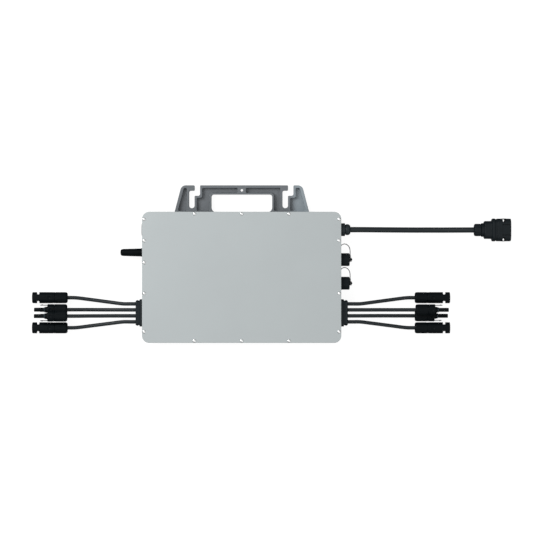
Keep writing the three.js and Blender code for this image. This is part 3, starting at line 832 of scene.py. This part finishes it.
for place in ("upper", "lower"):
    port_low, port_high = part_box(f"data_port_{place}")
    wall_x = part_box("right_cable_block")[1].x - 13.9 * MM
    axis = Vector((wall_x, (port_low.y + port_high.y) / 2, (port_low.z + port_high.z) / 2)) / MM
    path = [axis + p for p in curve_through(LEASH_ROUTE, 12)]
    leash = tube(f"leash_{place}", path, LEASH_D / 2, wire_steel, sides=20, strands=5, lay=6)
    crimp_path = [axis + Vector((EYE_X, y, 0)) for y in (4.2, 4.6, 7.2, 7.6)]
    crimp = tube(f"leash_crimp_{place}", crimp_path, 1.15, wire_steel, sides=20)
    fit(crimp, f"leash_{place}", "leash_wire")
    eye = set_at(leash_eye(f"leash_eye_{place}"), *(axis * MM))
    fit(eye, f"leash_{place}", "leash_wire")
    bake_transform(leash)
    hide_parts(f"cap_leash_{place}")
    [v * MM for v in path[-1]]
    length_of(path) * MM
    [p * MM for p in reversed(path)]


# ---- Housing ----
# The housing is one aluminium casting, blasted and anodised: a tub with a rim flange and screw
# bosses, long cooling fins on its back, and a plain pad among them on which it lies.

WALL_X = 163
WALL_Y = 106.5
WALL_T = 3
FIN_H = 6.5
FIN_T = 2.2
FIN_PITCH = 12
FLOOR_Z = 9
RIM_Z = 31.8
FLANGE_T = 2.2
COVER_CORNER = 12
PORT_Z = 18
MAINS_Y = 79.5
ANTENNA_Y = 41.4
DATA_Y = (29.5, -9.9)
SCREW_INSET = 3.5
cover_half_x = cover_high.x / MM
cover_half_y = cover_high.y / MM
screw_x = cover_half_x - SCREW_INSET
screw_y = cover_half_y - SCREW_INSET
SCREW_PLACES = [
    *[(x, side * screw_y) for x in (-78.6, 0, 78.6) for side in (1, -1)],
    *[(-screw_x, y) for y in (96.5, 61, 24.6, -26.7, -90.3)],
    *[(screw_x, y) for y in (96.5, 61, -26.7, -90.3)],
]


def cast(name, dark, light, grain=0.45, shine=0.55, metal=0.5):
    """Blasted, anodised aluminium: a fine grain, faint clouding and brighter rubbed spots."""
    finish = Finish(name, Metallic=metal)
    clouds = finish.speckle(38, 3)
    rubbed = finish.steps(finish.speckle(3, 5), 0.6, 0.8)
    tone = finish.between(clouds, grey(dark, 1.04), grey(light, 1.04))
    finish.vary("Base Color", finish.between(0.35 * rubbed, tone, grey(light * 1.15, 1.02)))
    finish.vary("Roughness", shine + 0.1 * clouds - 0.12 * rubbed)
    finish.relief(finish.speckle(grain, 2), 0.05, 0.5)
    return finish


housing_grey = cast("housing casting", 0.34, 0.4)


def foot_round(z, radius, side=1):
    """Levels of a rounded lower edge. A cutter's side is -1: it opens out, and rounds its rim."""
    angles = [math.pi / 2 * step / 3 for step in range(4)]
    return [(z + radius * (1 - math.cos(a)), side * radius * (1 - math.sin(a))) for a in angles]


def top_round(z, radius, side=1):
    """Levels of a rounded upper edge."""
    angles = [math.pi / 2 * step / 3 for step in range(4)]
    return [(z - radius * (1 - math.sin(a)), side * radius * (1 - math.cos(a))) for a in angles]


def slice_of(outline, profile, x=0.0, y=0.0):
    """Loops of one wall, for a mesh with many of them."""
    return [[(px + x, py + y, z) for px, py in inset(outline, distance)] for z, distance in profile]


def many(name, stacks, finish):
    """One piece with several separate skins, each over its own loops."""
    points = []
    faces = []
    for loops in stacks:
        faces += faces_over(loops, first=len(points))
        points += [Vector(p) * MM for loop in loops for p in loop]
    mesh = bpy.data.meshes.new(name)
    mesh.from_pydata(points, [], faces)
    return piece_of(name, mesh, finish)


def side_hole(side, y, radius):
    """Loops of a round cutter through a side wall."""
    rings = [round_ring(x, radius, 36) for x in (WALL_X - 8, WALL_X + 6)]
    return [[(side * px, py + y, pz + PORT_Z) for px, py, pz in ring] for ring in rings]


def housing():
    corner = COVER_CORNER - 2.5
    outside = rounded_box(-WALL_X, WALL_X, -WALL_Y, WALL_Y, corner, 8)
    draft = 0.5
    under_flange = RIM_Z - FLANGE_T
    tub = walls(
        "housing_casting",
        outside,
        [
            *foot_round(FIN_H, 2),
            (under_flange - 0.8, -draft),
            (under_flange - 0.2, -draft - 0.2),
            (under_flange, -draft - 0.8),
            *[(z, set_in - 2.5) for z, set_in in foot_round(under_flange, 0.5)],
            *[(z, set_in - 2.5) for z, set_in in top_round(RIM_Z, 0.4)],
        ],
        housing_grey,
    )
    inner = rounded_box(
        WALL_T - WALL_X, WALL_X - WALL_T, WALL_T - WALL_Y, WALL_Y - WALL_T, corner - WALL_T, 8
    )
    cavity = [slice_of(inner, [*foot_round(FLOOR_Z, 1.5), (RIM_Z + 1, -0.4)])]
    bosses = []
    threads = []
    for x, y in SCREW_PLACES:
        ring = circle(SCREW_INSET, 24)
        bosses.append(slice_of(ring, [(19.6, 1.2), (20.8, 0), (RIM_Z, 0)], x, y))
        bore = circle(1.4, 16)
        threads.append(slice_of(bore, [(22, 0), (RIM_Z + 1, 0)], x, y))
    fins = []
    for i in range(-13, 14):
        blade = rounded_box(-FIN_T / 2, FIN_T / 2, -100, 76, 1.05, 5)
        taper = [(0, 0.5), (0.15, 0.25), (0.5, 0.12), (FIN_H + 0.5, -0.25)]
        fins.append(slice_of(blade, taper, i * FIN_PITCH))
    pad = rounded_box(-42, 42, -28, 28, 3)
    pads = [slice_of(pad, [*foot_round(0, 0.5), (FIN_H + 0.5, -0.2)])]
    for x in (-88, -34, 34, 88):
        ring = circle(6, 28)
        pads.append(slice_of(ring, [(4.3, 0.4), (4.7, 0), (FIN_H + 0.5, -0.2)], x, 93))
    holes = [side_hole(1, MAINS_Y, 8), side_hole(-1, MAINS_Y, 8), side_hole(-1, ANTENNA_Y, 3.5)]
    holes += [side_hole(1, y, 7.5) for y in DATA_Y]
    for side in (1, -1):
        slot = rounded_box(PV_MIDDLE_Y - 20.5, PV_MIDDLE_Y + 20.5, PORT_Z - 6.5, PORT_Z + 6.5, 5)
        ends = sorted((side * (WALL_X - 8), side * (WALL_X + 6)))
        holes.append([[(x, y, z) for y, z in slot] for x in ends])
    work(tub, "DIFFERENCE", many("cavity", cavity, housing_grey))
    work(tub, "UNION", many("bosses", bosses, housing_grey))
    work(tub, "UNION", many("fins", fins, housing_grey))
    work(tub, "UNION", many("pads", pads, housing_grey))
    return work(tub, "DIFFERENCE", many("holes", holes + threads, housing_grey))


fit(housing(), "enclosure", "cast_metal", "housing")


# ---- Blanking plug ----
# A domed metal plug with a coin slot closes the spare gland hole, on a rubber ring.

plug_loops = round_rings(
    (-5, 7.4), (-4.5, 7.7), (0.3, 7.7), (0.3, 10.4), (0.6, 10.7), (2.6, 10.7), (3.2, 10.5),
    (3.7, 10), (3.95, 9), (4, 7), (4, 0.2),
)
blanking = skin("blanking_plug_head", plug_loops, housing_grey)
coin_slot = walls("slot", rounded_box(2.9, 6, -6.5, 6.5, 0.3, 3), [(-0.9, 0), (0.9, 0)], housing_grey)
work(blanking, "DIFFERENCE", coin_slot)
fit(
    set_at(blanking, -WALL_X * MM, MAINS_Y * MM, PORT_Z * MM, left=True),
    "enclosure", "cast_metal", "blanking_plug",
)


# ---- Inside the housing ----
# A circuit board with four transformers and an output choke stands on four posts, and a dark
# compound is poured round them. The cover hides it all.

board_green = Finish("solder resist", Specular_IOR_Level=0.5, Roughness=0.35)
tracks = board_green.steps(board_green.speckle(2.2, 1), 0.48, 0.52)
board_green.vary("Base Color", board_green.between(tracks, (0.01, 0.07, 0.03, 1), (0.02, 0.13, 0.05, 1)))
board_green.relief(tracks, 0.035)
ferrite_grey = moulded("ferrite", 0.016, 0.03, grain=0.8, roughness=0.6)
compound_grey = moulded("potting compound", 0.018, 0.026, grain=5, roughness=0.25)
seal_black = moulded("gasket rubber", 0.012, 0.02, grain=0.6, roughness=0.65)


def dress(node, finish):
    """Gives a CAD node's own object a finish."""
    for place in bpy.data.objects[node].material_slots:
        place.material = finish.material


dress("main_board", board_green)
dress("potting", compound_grey)
dress("output_choke", ferrite_grey)
for number in range(1, 5):
    dress(f"transformer_{number}", ferrite_grey)


# ---- Cover seal ----
# A flat rubber gasket lies between the rim and the cover, and bulges a little where it shows.

SEAL_T = 0.8
seal_x = cover_half_x - 0.5
seal_y = cover_half_y - 0.5
seal_outer = rounded_box(-seal_x, seal_x, -seal_y, seal_y, 11.5, 8)
seal_inner = rounded_box(-158.5, 158.5, -102, 102, 5, 8)
seal_levels = [
    (seal_outer, 0, 0.25), (seal_outer, SEAL_T * 0.3, 0), (seal_outer, SEAL_T * 0.7, 0),
    (seal_outer, SEAL_T, 0.25), (seal_inner, SEAL_T, 0), (seal_inner, 0, 0),
]
seal_loops = [[(*p, RIM_Z + up) for p in inset(outline, by)] for outline, up, by in seal_levels]
fit(skin("cover_gasket", seal_loops, seal_black, closed=True), "enclosure", "seal_rubber", "cover_seal")


# ---- Cover ----
# The cover is a flat 2 mm aluminium plate with a satin silver-grey finish. Its edge is rolled
# over gently, and there is a shallow dish round each screw.

COVER_T = 2
cover_top = cover_high.z / MM


def satin_silver():
    """Satin silver-grey coating: an even, very fine grain and the faintest clouding."""
    finish = Finish("cover finish", Metallic=0.35, Specular_IOR_Level=0.45)
    clouds = finish.speckle(60, 2)
    grain = finish.speckle(0.35, 2)
    fleck = finish.steps(finish.speckle(0.8, 3), 0.55, 0.75)
    tone = finish.between(clouds, (0.363, 0.391, 0.397, 1), (0.382, 0.413, 0.418, 1))
    finish.vary("Base Color", finish.between(0.3 * fleck, tone, (0.43, 0.463, 0.468, 1)))
    finish.vary("Roughness", 0.42 + 0.08 * clouds + 0.06 * grain)
    finish.relief(grain, 0.02, 0.35)
    return finish


def cover_plate():
    edge = [(0, 0.35), (0.25, 0.08), (0.6, 0), (1.3, 0.03), (1.7, 0.12), (1.88, 0.3), (1.96, 0.5)]
    outline = rounded_box(-cover_half_x, cover_half_x, -cover_half_y, cover_half_y, COVER_CORNER, 12)
    profile = [(cover_top - COVER_T + up, by) for up, by in edge]
    plate = walls("cover_plate", outline, [*profile, (cover_top, 0.8)], cover_silver)
    dishes = [ball_loops(x, y, cover_top + 0.75, 4.6, 4.6, 1.15) for x, y in SCREW_PLACES]
    return work(plate, "DIFFERENCE", many("dishes", dishes, cover_silver))


cover_silver = satin_silver()
fit(cover_plate(), "enclosure", "cover_metal", "cover")


# ---- Cover screws ----
# Fifteen bright steel screws hold the cover, three on each long edge, five on the antenna's
# side and four on the mains side. Each has a domed head with a six-lobed recess.

HEAD_R = 3
HEAD_H = 1.7
screw_steel = plated("screw steel", (0.86, 0.87, 0.87, 1), roughness=0.2, grain=0.6)


def lobed(radius, depth, sides=48):
    """The outline of a six-lobed recess."""
    outline = []
    for j in range(sides):
        angle = 2 * math.pi * j / sides
        reach = radius - depth * (0.5 - 0.5 * math.cos(6 * angle))
        outline.append((reach * math.cos(angle), reach * math.sin(angle)))
    return outline


def screw(name, x, y, base):
    """A domed screw that stands on a level, with part of its shank."""
    ring = circle(HEAD_R, 48)
    dome = [(0.35, 0.02), (0.8, 0.22), (1.2, 0.6), (1.5, 1.1), (1.65, 1.6), (HEAD_H, 2.3)]
    profile = [(-5, 1.75), (-0.02, 1.75), (0, 0.15), (0.1, 0), *dome, (HEAD_H, 2.9)]
    head = walls(name, ring, profile, screw_steel)
    recess = walls("recess", lobed(1.35, 0.3), [(HEAD_H - 1, 0), (HEAD_H + 0.5, 0)], screw_steel)
    work(head, "DIFFERENCE", recess)
    head.location = (x * MM, y * MM, base * MM)
    return head


for i, (x, y) in enumerate(SCREW_PLACES):
    fit(screw(f"cover_screw_{i + 1}", x, y, cover_top - 0.35), "enclosure", "leash_wire")


# ---- Mounting bracket ----
# The bracket is die cast and powder coated dark grey. Two hook slots take the rail's bolts, a
# hand fits through the middle, and ribs round its pockets stiffen it. Its foot lies under the
# housing's back and is held by four countersunk screws.

BRACKET_TOP = 153.9
BRACKET_T = 10
BRACKET_WEB_T = 3
BRACKET_FOOT_T = 4
BRACKET_BASE_Y = 107.3
BRACKET_BASE_X = 113.2
LEAN = 0.2635
RIM_T = 3.8
SLOT_W = 9.2
SLOT_PITCH = 156.4
SLOT_FIRST_X = -88.3
SLOT_END_Y = 115.6
HOOK_Y = BRACKET_TOP - 8.8
LEDGE_Y = 136.4
POCKET_BASE_Y = 111.3
POCKET_TOP_Y = BRACKET_TOP - 4.5
EYE_Y = 145.7
HAND_HALF_W = 50.8
HAND_TOP_Y = 138.7
BRACKET_SCREWS = [(x, 93) for x in (-88, -34, 34, 88)]
# Where the painted highlight on the bracket's right end begins and reaches full strength.
SHEEN_PAINT_FROM_X = 74
SHEEN_PAINT_TO_X = 96


def powder_coat():
    """Dark grey powder coat: orange peel, paler rubbed spots, and a painted highlight that makes the right
    end paler, standing in for reflected light.
    """
    finish = Finish("bracket coat", Specular_IOR_Level=0.5)
    clouds = finish.speckle(30, 3)
    rubbed = finish.steps(finish.speckle(1.6, 5), 0.58, 0.8)
    across = finish.node("ShaderNodeSeparateXYZ", values={0: finish.place})
    # Painted highlight: the coat turns paler towards the right end, standing in for light reflected there.
    pale = finish.steps(across, SHEEN_PAINT_FROM_X * MM, SHEEN_PAINT_TO_X * MM)
    tone = finish.between(clouds, (0.092, 0.102, 0.112, 1), (0.108, 0.12, 0.131, 1))
    tone = finish.between(pale, tone, (0.2, 0.234, 0.256, 1))
    finish.vary("Base Color", finish.between(0.3 * rubbed, tone, (0.2, 0.215, 0.23, 1)))
    finish.vary("Roughness", 0.38 + 0.12 * clouds - 0.06 * rubbed)
    finish.relief(finish.speckle(0.9, 2), 0.06, 0.6)
    return finish


bracket_grey = powder_coat()


def end_x(y):
    return BRACKET_BASE_X - (y - BRACKET_BASE_Y) * LEAN


def slot_edge(x):
    """The hook slot that starts at x, from its hook's tip to the far side of its entrance."""
    return [
        (x + SLOT_W, BRACKET_TOP, 1.5),
        (x + SLOT_W, HOOK_Y, 1.5),
        (x, HOOK_Y, 3),
        (x, SLOT_END_Y, SLOT_W / 2 - 0.01),
        (x + SLOT_W, SLOT_END_Y, SLOT_W / 2 - 0.01),
        (x + SLOT_W, LEDGE_Y, 1.5),
        (x + 2 * SLOT_W, LEDGE_Y, 3.5),
        (x + 2 * SLOT_W, BRACKET_TOP, 1.5),
    ]


def pocket_edge(x, top):
    """The left and upper edges of the pocket beyond the slot that starts at x."""
    return [
        (x + SLOT_W + RIM_T, POCKET_BASE_Y, 1.5),
        (x + SLOT_W + RIM_T, LEDGE_Y - RIM_T, 1.5),
        (x + 2 * SLOT_W + RIM_T, LEDGE_Y - RIM_T, 3.5),
        (x + 2 * SLOT_W + RIM_T, top, 1.5),
    ]


def pockets():
    second_x = SLOT_FIRST_X + SLOT_PITCH
    end_top = BRACKET_TOP - 4.5
    base_x = end_x(POCKET_BASE_Y) - 5.2
    top_x = end_x(end_top) - 5.2
    leg_x = HAND_HALF_W + 3.2
    bar_y = HAND_TOP_Y + 2.9
    return [
        [
            (-base_x, POCKET_BASE_Y, 1.5), (-top_x, end_top, 2.5),
            (SLOT_FIRST_X - RIM_T, end_top, 2), (SLOT_FIRST_X - RIM_T, POCKET_BASE_Y, 1.5),
        ],
        [
            *pocket_edge(SLOT_FIRST_X, POCKET_TOP_Y),
            (-7, POCKET_TOP_Y, 1.5), (-7, bar_y, 1.5), (-leg_x, bar_y, 6), (-leg_x, POCKET_BASE_Y, 1.5),
        ],
        [
            (7, bar_y, 1.5), (7, POCKET_TOP_Y, 1.5),
            (second_x - RIM_T, POCKET_TOP_Y, 1.5), (second_x - RIM_T, POCKET_BASE_Y, 1.5),
            (leg_x, POCKET_BASE_Y, 1.5), (leg_x, bar_y, 6),
        ],
        [
            *pocket_edge(second_x, end_top),
            (top_x, end_top, 2.5), (base_x, POCKET_BASE_Y, 1.5),
        ],
    ]


def through(low, high, flare):
    """A cutter's levels right through a plate, opening out at both faces."""
    return [(low - 1, -flare), *foot_round(low, flare, -1), *top_round(high, flare, -1), (high + 1, -flare)]


def bracket():
    heel_y = WALL_Y + 0.35
    outline = rounded_outline(
        [
            (-end_x(heel_y), heel_y, 1),
            (-end_x(BRACKET_TOP), BRACKET_TOP, 9),
            *slot_edge(SLOT_FIRST_X),
            *slot_edge(SLOT_FIRST_X + SLOT_PITCH),
            (end_x(BRACKET_TOP), BRACKET_TOP, 9),
            (end_x(heel_y), heel_y, 1),
        ]
    )
    casting = walls(
        "bracket_casting", outline, [*foot_round(0, 0.6), *top_round(BRACKET_T, 0.9)], bracket_grey
    )
    hand = rounded_outline(
        [
            (-HAND_HALF_W, BRACKET_BASE_Y + 1.6, 8),
            (HAND_HALF_W, BRACKET_BASE_Y + 1.6, 8),
            (HAND_HALF_W, HAND_TOP_Y, 4),
            (-HAND_HALF_W, HAND_TOP_Y, 4),
        ]
    )
    eye = [(x, y + EYE_Y) for x, y in circle(2.2, 32)]
    cuts = [slice_of(hand, through(0, BRACKET_T, 0.7)), slice_of(eye, through(0, BRACKET_T, 0.4))]
    for corners in pockets():
        levels = [
            *[(z, by + 0.3) for z, by in foot_round(BRACKET_WEB_T, 0.9)],
            *top_round(BRACKET_T, 0.6, -1),
            (BRACKET_T + 1, -0.6),
        ]
        cuts.append(slice_of(rounded_outline(corners), levels))
    work(casting, "DIFFERENCE", many("openings", cuts, bracket_grey))
    foot = rounded_outline(
        [
            (-104, 82, 4), (104, 82, 4),
            (104, BRACKET_BASE_Y + 1.5, 0.5), (-104, BRACKET_BASE_Y + 1.5, 0.5),
        ]
    )
    plate = walls("foot", foot, [*foot_round(0.1, 0.5), *top_round(BRACKET_FOOT_T, 0.5)], bracket_grey)
    sinks = []
    for x, y in BRACKET_SCREWS:
        ring = circle(2.7, 32)
        sinks.append(slice_of(ring, [(-1, -2.6), (0, -2.6), (2.6, 0), (BRACKET_FOOT_T + 1, 0)], x, y))
    work(casting, "UNION", plate)
    return work(casting, "DIFFERENCE", many("sinks", sinks, bracket_grey))


def sunk_screw(name, x, y):
    """A countersunk screw that comes up through the foot into the housing's back."""
    ring = circle(2.4, 36)
    head = walls(name, ring, [(0.25, -2.3), (0.45, -2.45), (2.7, 0), (7, 0), (7.4, 0.4)], screw_steel)
    recess = walls("recess", lobed(1.9, 0.4), [(-0.5, 0), (1.9, 0)], screw_steel)
    work(head, "DIFFERENCE", recess)
    head.location = (x * MM, y * MM, 0)
    return head


fit(bracket(), "enclosure", "bracket_metal", "mounting_bracket")
for i, (x, y) in enumerate(BRACKET_SCREWS):
    fit(sunk_screw(f"bracket_screw_{i + 1}", x, y), "enclosure", "leash_wire")


# ---- Cable blocks ----
# One moulded block on each side lets four PV leads through the wall. It has a broad foot, a
# waist and a collar, and a soft rubber bush round each lead.

block_black = moulded("block plastic", 0.0055, 0.009, shine=0.19)
bush_rubber = moulded("bush rubber", 0.014, 0.022, grain=0.7, roughness=0.6)
LEAD_ROWS = (-15, -5, 5, 15)


def cable_block(name):
    loops = oblong_rings(
        (-5, 20, 6, 4.5), (0.3, 20, 6, 4.5), (0.3, 22.3, 8.1, 4.7), (0.8, 22.7, 8.5, 5),
        (6.8, 22.7, 8.5, 5), (7.3, 22.3, 8.1, 4.7), (7.6, 20.6, 7, 4.5), (9.6, 20.6, 7, 4.5),
        (9.9, 21, 7.3, 4.6), (10.3, 21.3, 7.5, 4.8), (12, 21.3, 7.5, 4.8), (12.5, 20.9, 7.1, 4.6),
        (13.4, 20.4, 6.7, 4.5), (13.9, 19.7, 6, 4),
    )
    block = skin(name, loops, block_black)
    bores = []
    for y in LEAD_ROWS:
        rings = [round_ring(7, 3.6, 32), round_ring(13.2, 3.6, 32), round_ring(14.5, 4.6, 32)]
        bores.append([[(px, py + y, pz) for px, py, pz in ring] for ring in rings])
    return work(block, "DIFFERENCE", many("bores", bores, block_black))


def bush(name, y):
    """The rubber bush that seals one lead in its bore."""
    loops = round_rings(
        (8, 3.55), (13.1, 3.55), (13.5, 3.4), (13.5, 3.15), (8, 3.1),
        sides=36,
    )
    loops = [[(px, py + y, pz) for px, py, pz in loop] for loop in loops]
    return skin(name, loops, bush_rubber, closed=True)


for side in ("right", "left"):
    left = side == "left"
    place = ((-WALL_X if left else WALL_X) * MM, PV_MIDDLE_Y * MM, PORT_Z * MM)
    node = f"{side}_cable_block"
    fit(set_at(cable_block(f"{node}_moulding"), *place, left), "enclosure", "black_plastic", node)
    for i, y in enumerate(LEAD_ROWS):
        fit(set_at(bush(f"{side}_lead_bush_{i + 1}", y), *place, left), "enclosure", "seal_rubber")


# ---- Mains gland ----
# The mains lead comes in through a black cable gland: a ribbed body screwed into the wall, and
# a domed nut that squeezes a seal round the lead.

gland_black = moulded("gland plastic", 0.008, 0.0128, shine=0.24)


def gland_body():
    sides = 144
    loops = round_rings(
        (-6, 7.7), (0.3, 7.7), (0.3, 10.3), (0.8, 10.8, 18, 0.1), (1.2, 10.8, 18, 0.35),
        (3.4, 10.8, 18, 0.35), (3.6, 10.4), (4.1, 10.4), (4.3, 10.8, 18, 0.35), (8, 10.8, 18, 0.35),
        (8.6, 10.7, 18, 0.1), (9.1, 10.3), (9.3, 9.8), (9.3, 6.6), (15, 6.6), (15, 4.9), (-6, 4.9),
        sides=sides,
    )
    return skin("mains_gland_body", loops, gland_black, closed=True)


def gland_nut():
    sides = 144
    loops = round_rings(
        (9.7, 8.2), (9.9, 8.6), (10.8, 8.6), (11.4, 9, 18, 0.2), (12, 9.15, 18, 0.35),
        (14.4, 9.15, 18, 0.35), (15.2, 8.9, 18, 0.2), (16.4, 8.2), (17.5, 7.2), (18.1, 6.1),
        (18.2, 5.3), (18.1, 4.8), (15.3, 4.8), (15.3, 6.9), (9.7, 6.9),
        sides=sides,
    )
    return skin("mains_gland_clamp", loops, gland_black, closed=True)


gland_place = (WALL_X * MM, MAINS_Y * MM, PORT_Z * MM)
fit(set_at(gland_body(), *gland_place), "enclosure", "black_plastic", "mains_gland")
fit(set_at(gland_nut(), *gland_place), "mains_gland_nut", "black_plastic", "mains_gland_nut")


# ---- Data ports ----
# Two round black ports for the monitoring bus, each with a flange on the wall, a thread, and
# four pins in an insulator at the bottom.


def data_port(name):
    thread = []
    for i in range(19):
        x = 3.4 + i * 0.5
        thread.append(round_ring(x, 8.1 if i % 2 else 7.65, 48))
    loops = round_rings(
        (-5, 7.2), (0.3, 7.2), (0.3, 9.7), (0.6, 10), (1.9, 10), (2.2, 9.7), (2.2, 8),
    )
    loops = [[loop[j * len(loop) // 48] for j in range(48)] for loop in loops]
    loops += [*thread, round_ring(13.2, 7.8, 48), round_ring(13.6, 7.4, 48)]
    loops += [round_ring(13.6, 6.3, 48), round_ring(13.2, 5.9, 48), round_ring(-5, 5.9, 48)]
    return skin(name, loops, gland_black, closed=True)


def port_insert(name):
    """The insulator at the bottom of a port."""
    loops = [round_ring(x, r, 40) for x, r in ((-4, 5.8), (1.7, 5.8), (2, 5.5))]
    return skin(name, loops, block_black)


def port_pin(name, y, z):
    radii = [(0, 0.6), (8.6, 0.6), (9, 0.4), (9.1, 0.1)]
    pin = skin(name, round_rings(*radii, sides=16), contact_tin)
    pin.data.transform(Matrix.Translation((0, y * MM, z * MM)))
    return pin


# ---- Dust caps ----
# A ribbed black screw cap covers each data port. A stud and a cone in the middle of its end
# hold the leash's eye.

cap_black = moulded("cap plastic", 0.003, 0.0056, grain=0.5, roughness=0.45, shine=0.12)


def dust_cap(name):
    sides = 156
    loops = round_rings(
        (14.6, 0.1), (14.6, 8.5), (2.6, 8.5), (2.6, 10.3), (3, 10.75), (3.7, 10.8),
        (4.1, 10.8, 26, 0.5), (15.3, 10.8, 26, 0.5), (16, 10.6, 26, 0.2), (16.6, 10.2), (16.9, 9.5),
        (16.9, 8), (16.7, 7.6), (16.7, 4.4), (16.9, 4), (16.9, 1.6), (18.9, 1.6), (18.9, 3.8),
        (19.1, 4.1), (19.5, 3.9), (21.4, 0.8), (21.7, 0.15),
        sides=sides,
    )
    return skin(name, loops, cap_black)


for place, y in zip(("upper", "lower"), DATA_Y):
    at = (WALL_X * MM, y * MM, PORT_Z * MM)
    port_node = f"data_port_{place}"
    cap_node = f"dust_cap_{place}"
    fit(set_at(data_port(f"{port_node}_body"), *at), "enclosure", "black_plastic", port_node)
    fit(set_at(port_insert(f"{port_node}_insert"), *at), "enclosure", "black_plastic")
    for i in range(4):
        angle = math.pi / 4 + math.pi / 2 * i
        pin = port_pin(f"{port_node}_pin_{i + 1}", 2.6 * math.cos(angle), 2.6 * math.sin(angle))
        fit(set_at(pin, *at), "enclosure", "jack_metal")
    fit(set_at(dust_cap(f"{cap_node}_moulding"), *at), cap_node, "black_plastic", cap_node)


# ---- Antenna ----
# A stub antenna in a smooth black jacket screws onto a brass jack in the wall.

antenna_black = moulded("antenna jacket", 0.0014, 0.0026, grain=0.6, roughness=0.4, shine=0.04)
brass = plated("jack brass", (0.75, 0.52, 0.2, 1))


def antenna():
    radii = [
        (9.6, 0.1), (9.6, 3.5), (2.6, 3.5), (2.6, 7), (2.9, 7.35), (3.5, 7.3), (4.4, 6.9), (5.4, 6.72),
        (6.3, 6.66), (6.4, 6.45), (6.8, 6.45), (6.9, 6.64), (14, 6.45), (24, 6.2), (34.5, 5.9),
        (36.4, 5.65), (37.8, 5.15), (38.8, 4.3), (39.25, 3), (39.4, 1.4), (39.4, 0.1),
    ]
    return skin("antenna_jacket", [round_ring(x, r) for x, r in radii], antenna_black)


def jack():
    loops = [
        round_ring(-5, 3.2, 48),
        round_ring(0.3, 3.2, 48),
        round_ring(0.3, 6, 48),
        round_ring(0.5, 6.2, 48, 6, 0.5),
        round_ring(2, 6.2, 48, 6, 0.5),
        round_ring(2.2, 6, 48),
        *[round_ring(2.6 + i * 0.35, 3.1 if i % 2 else 2.85, 48) for i in range(18)],
        round_ring(9, 2.7, 48),
        round_ring(9, 2.2, 48),
        round_ring(4, 2.1, 48),
    ]
    return skin("antenna_jack_body", loops, brass)


antenna_place = (-WALL_X * MM, ANTENNA_Y * MM, PORT_Z * MM)
fit(set_at(antenna(), *antenna_place, left=True), "antenna", "black_plastic", "antenna")
fit(set_at(jack(), *antenna_place, left=True), "enclosure", "jack_metal", "antenna_jack")
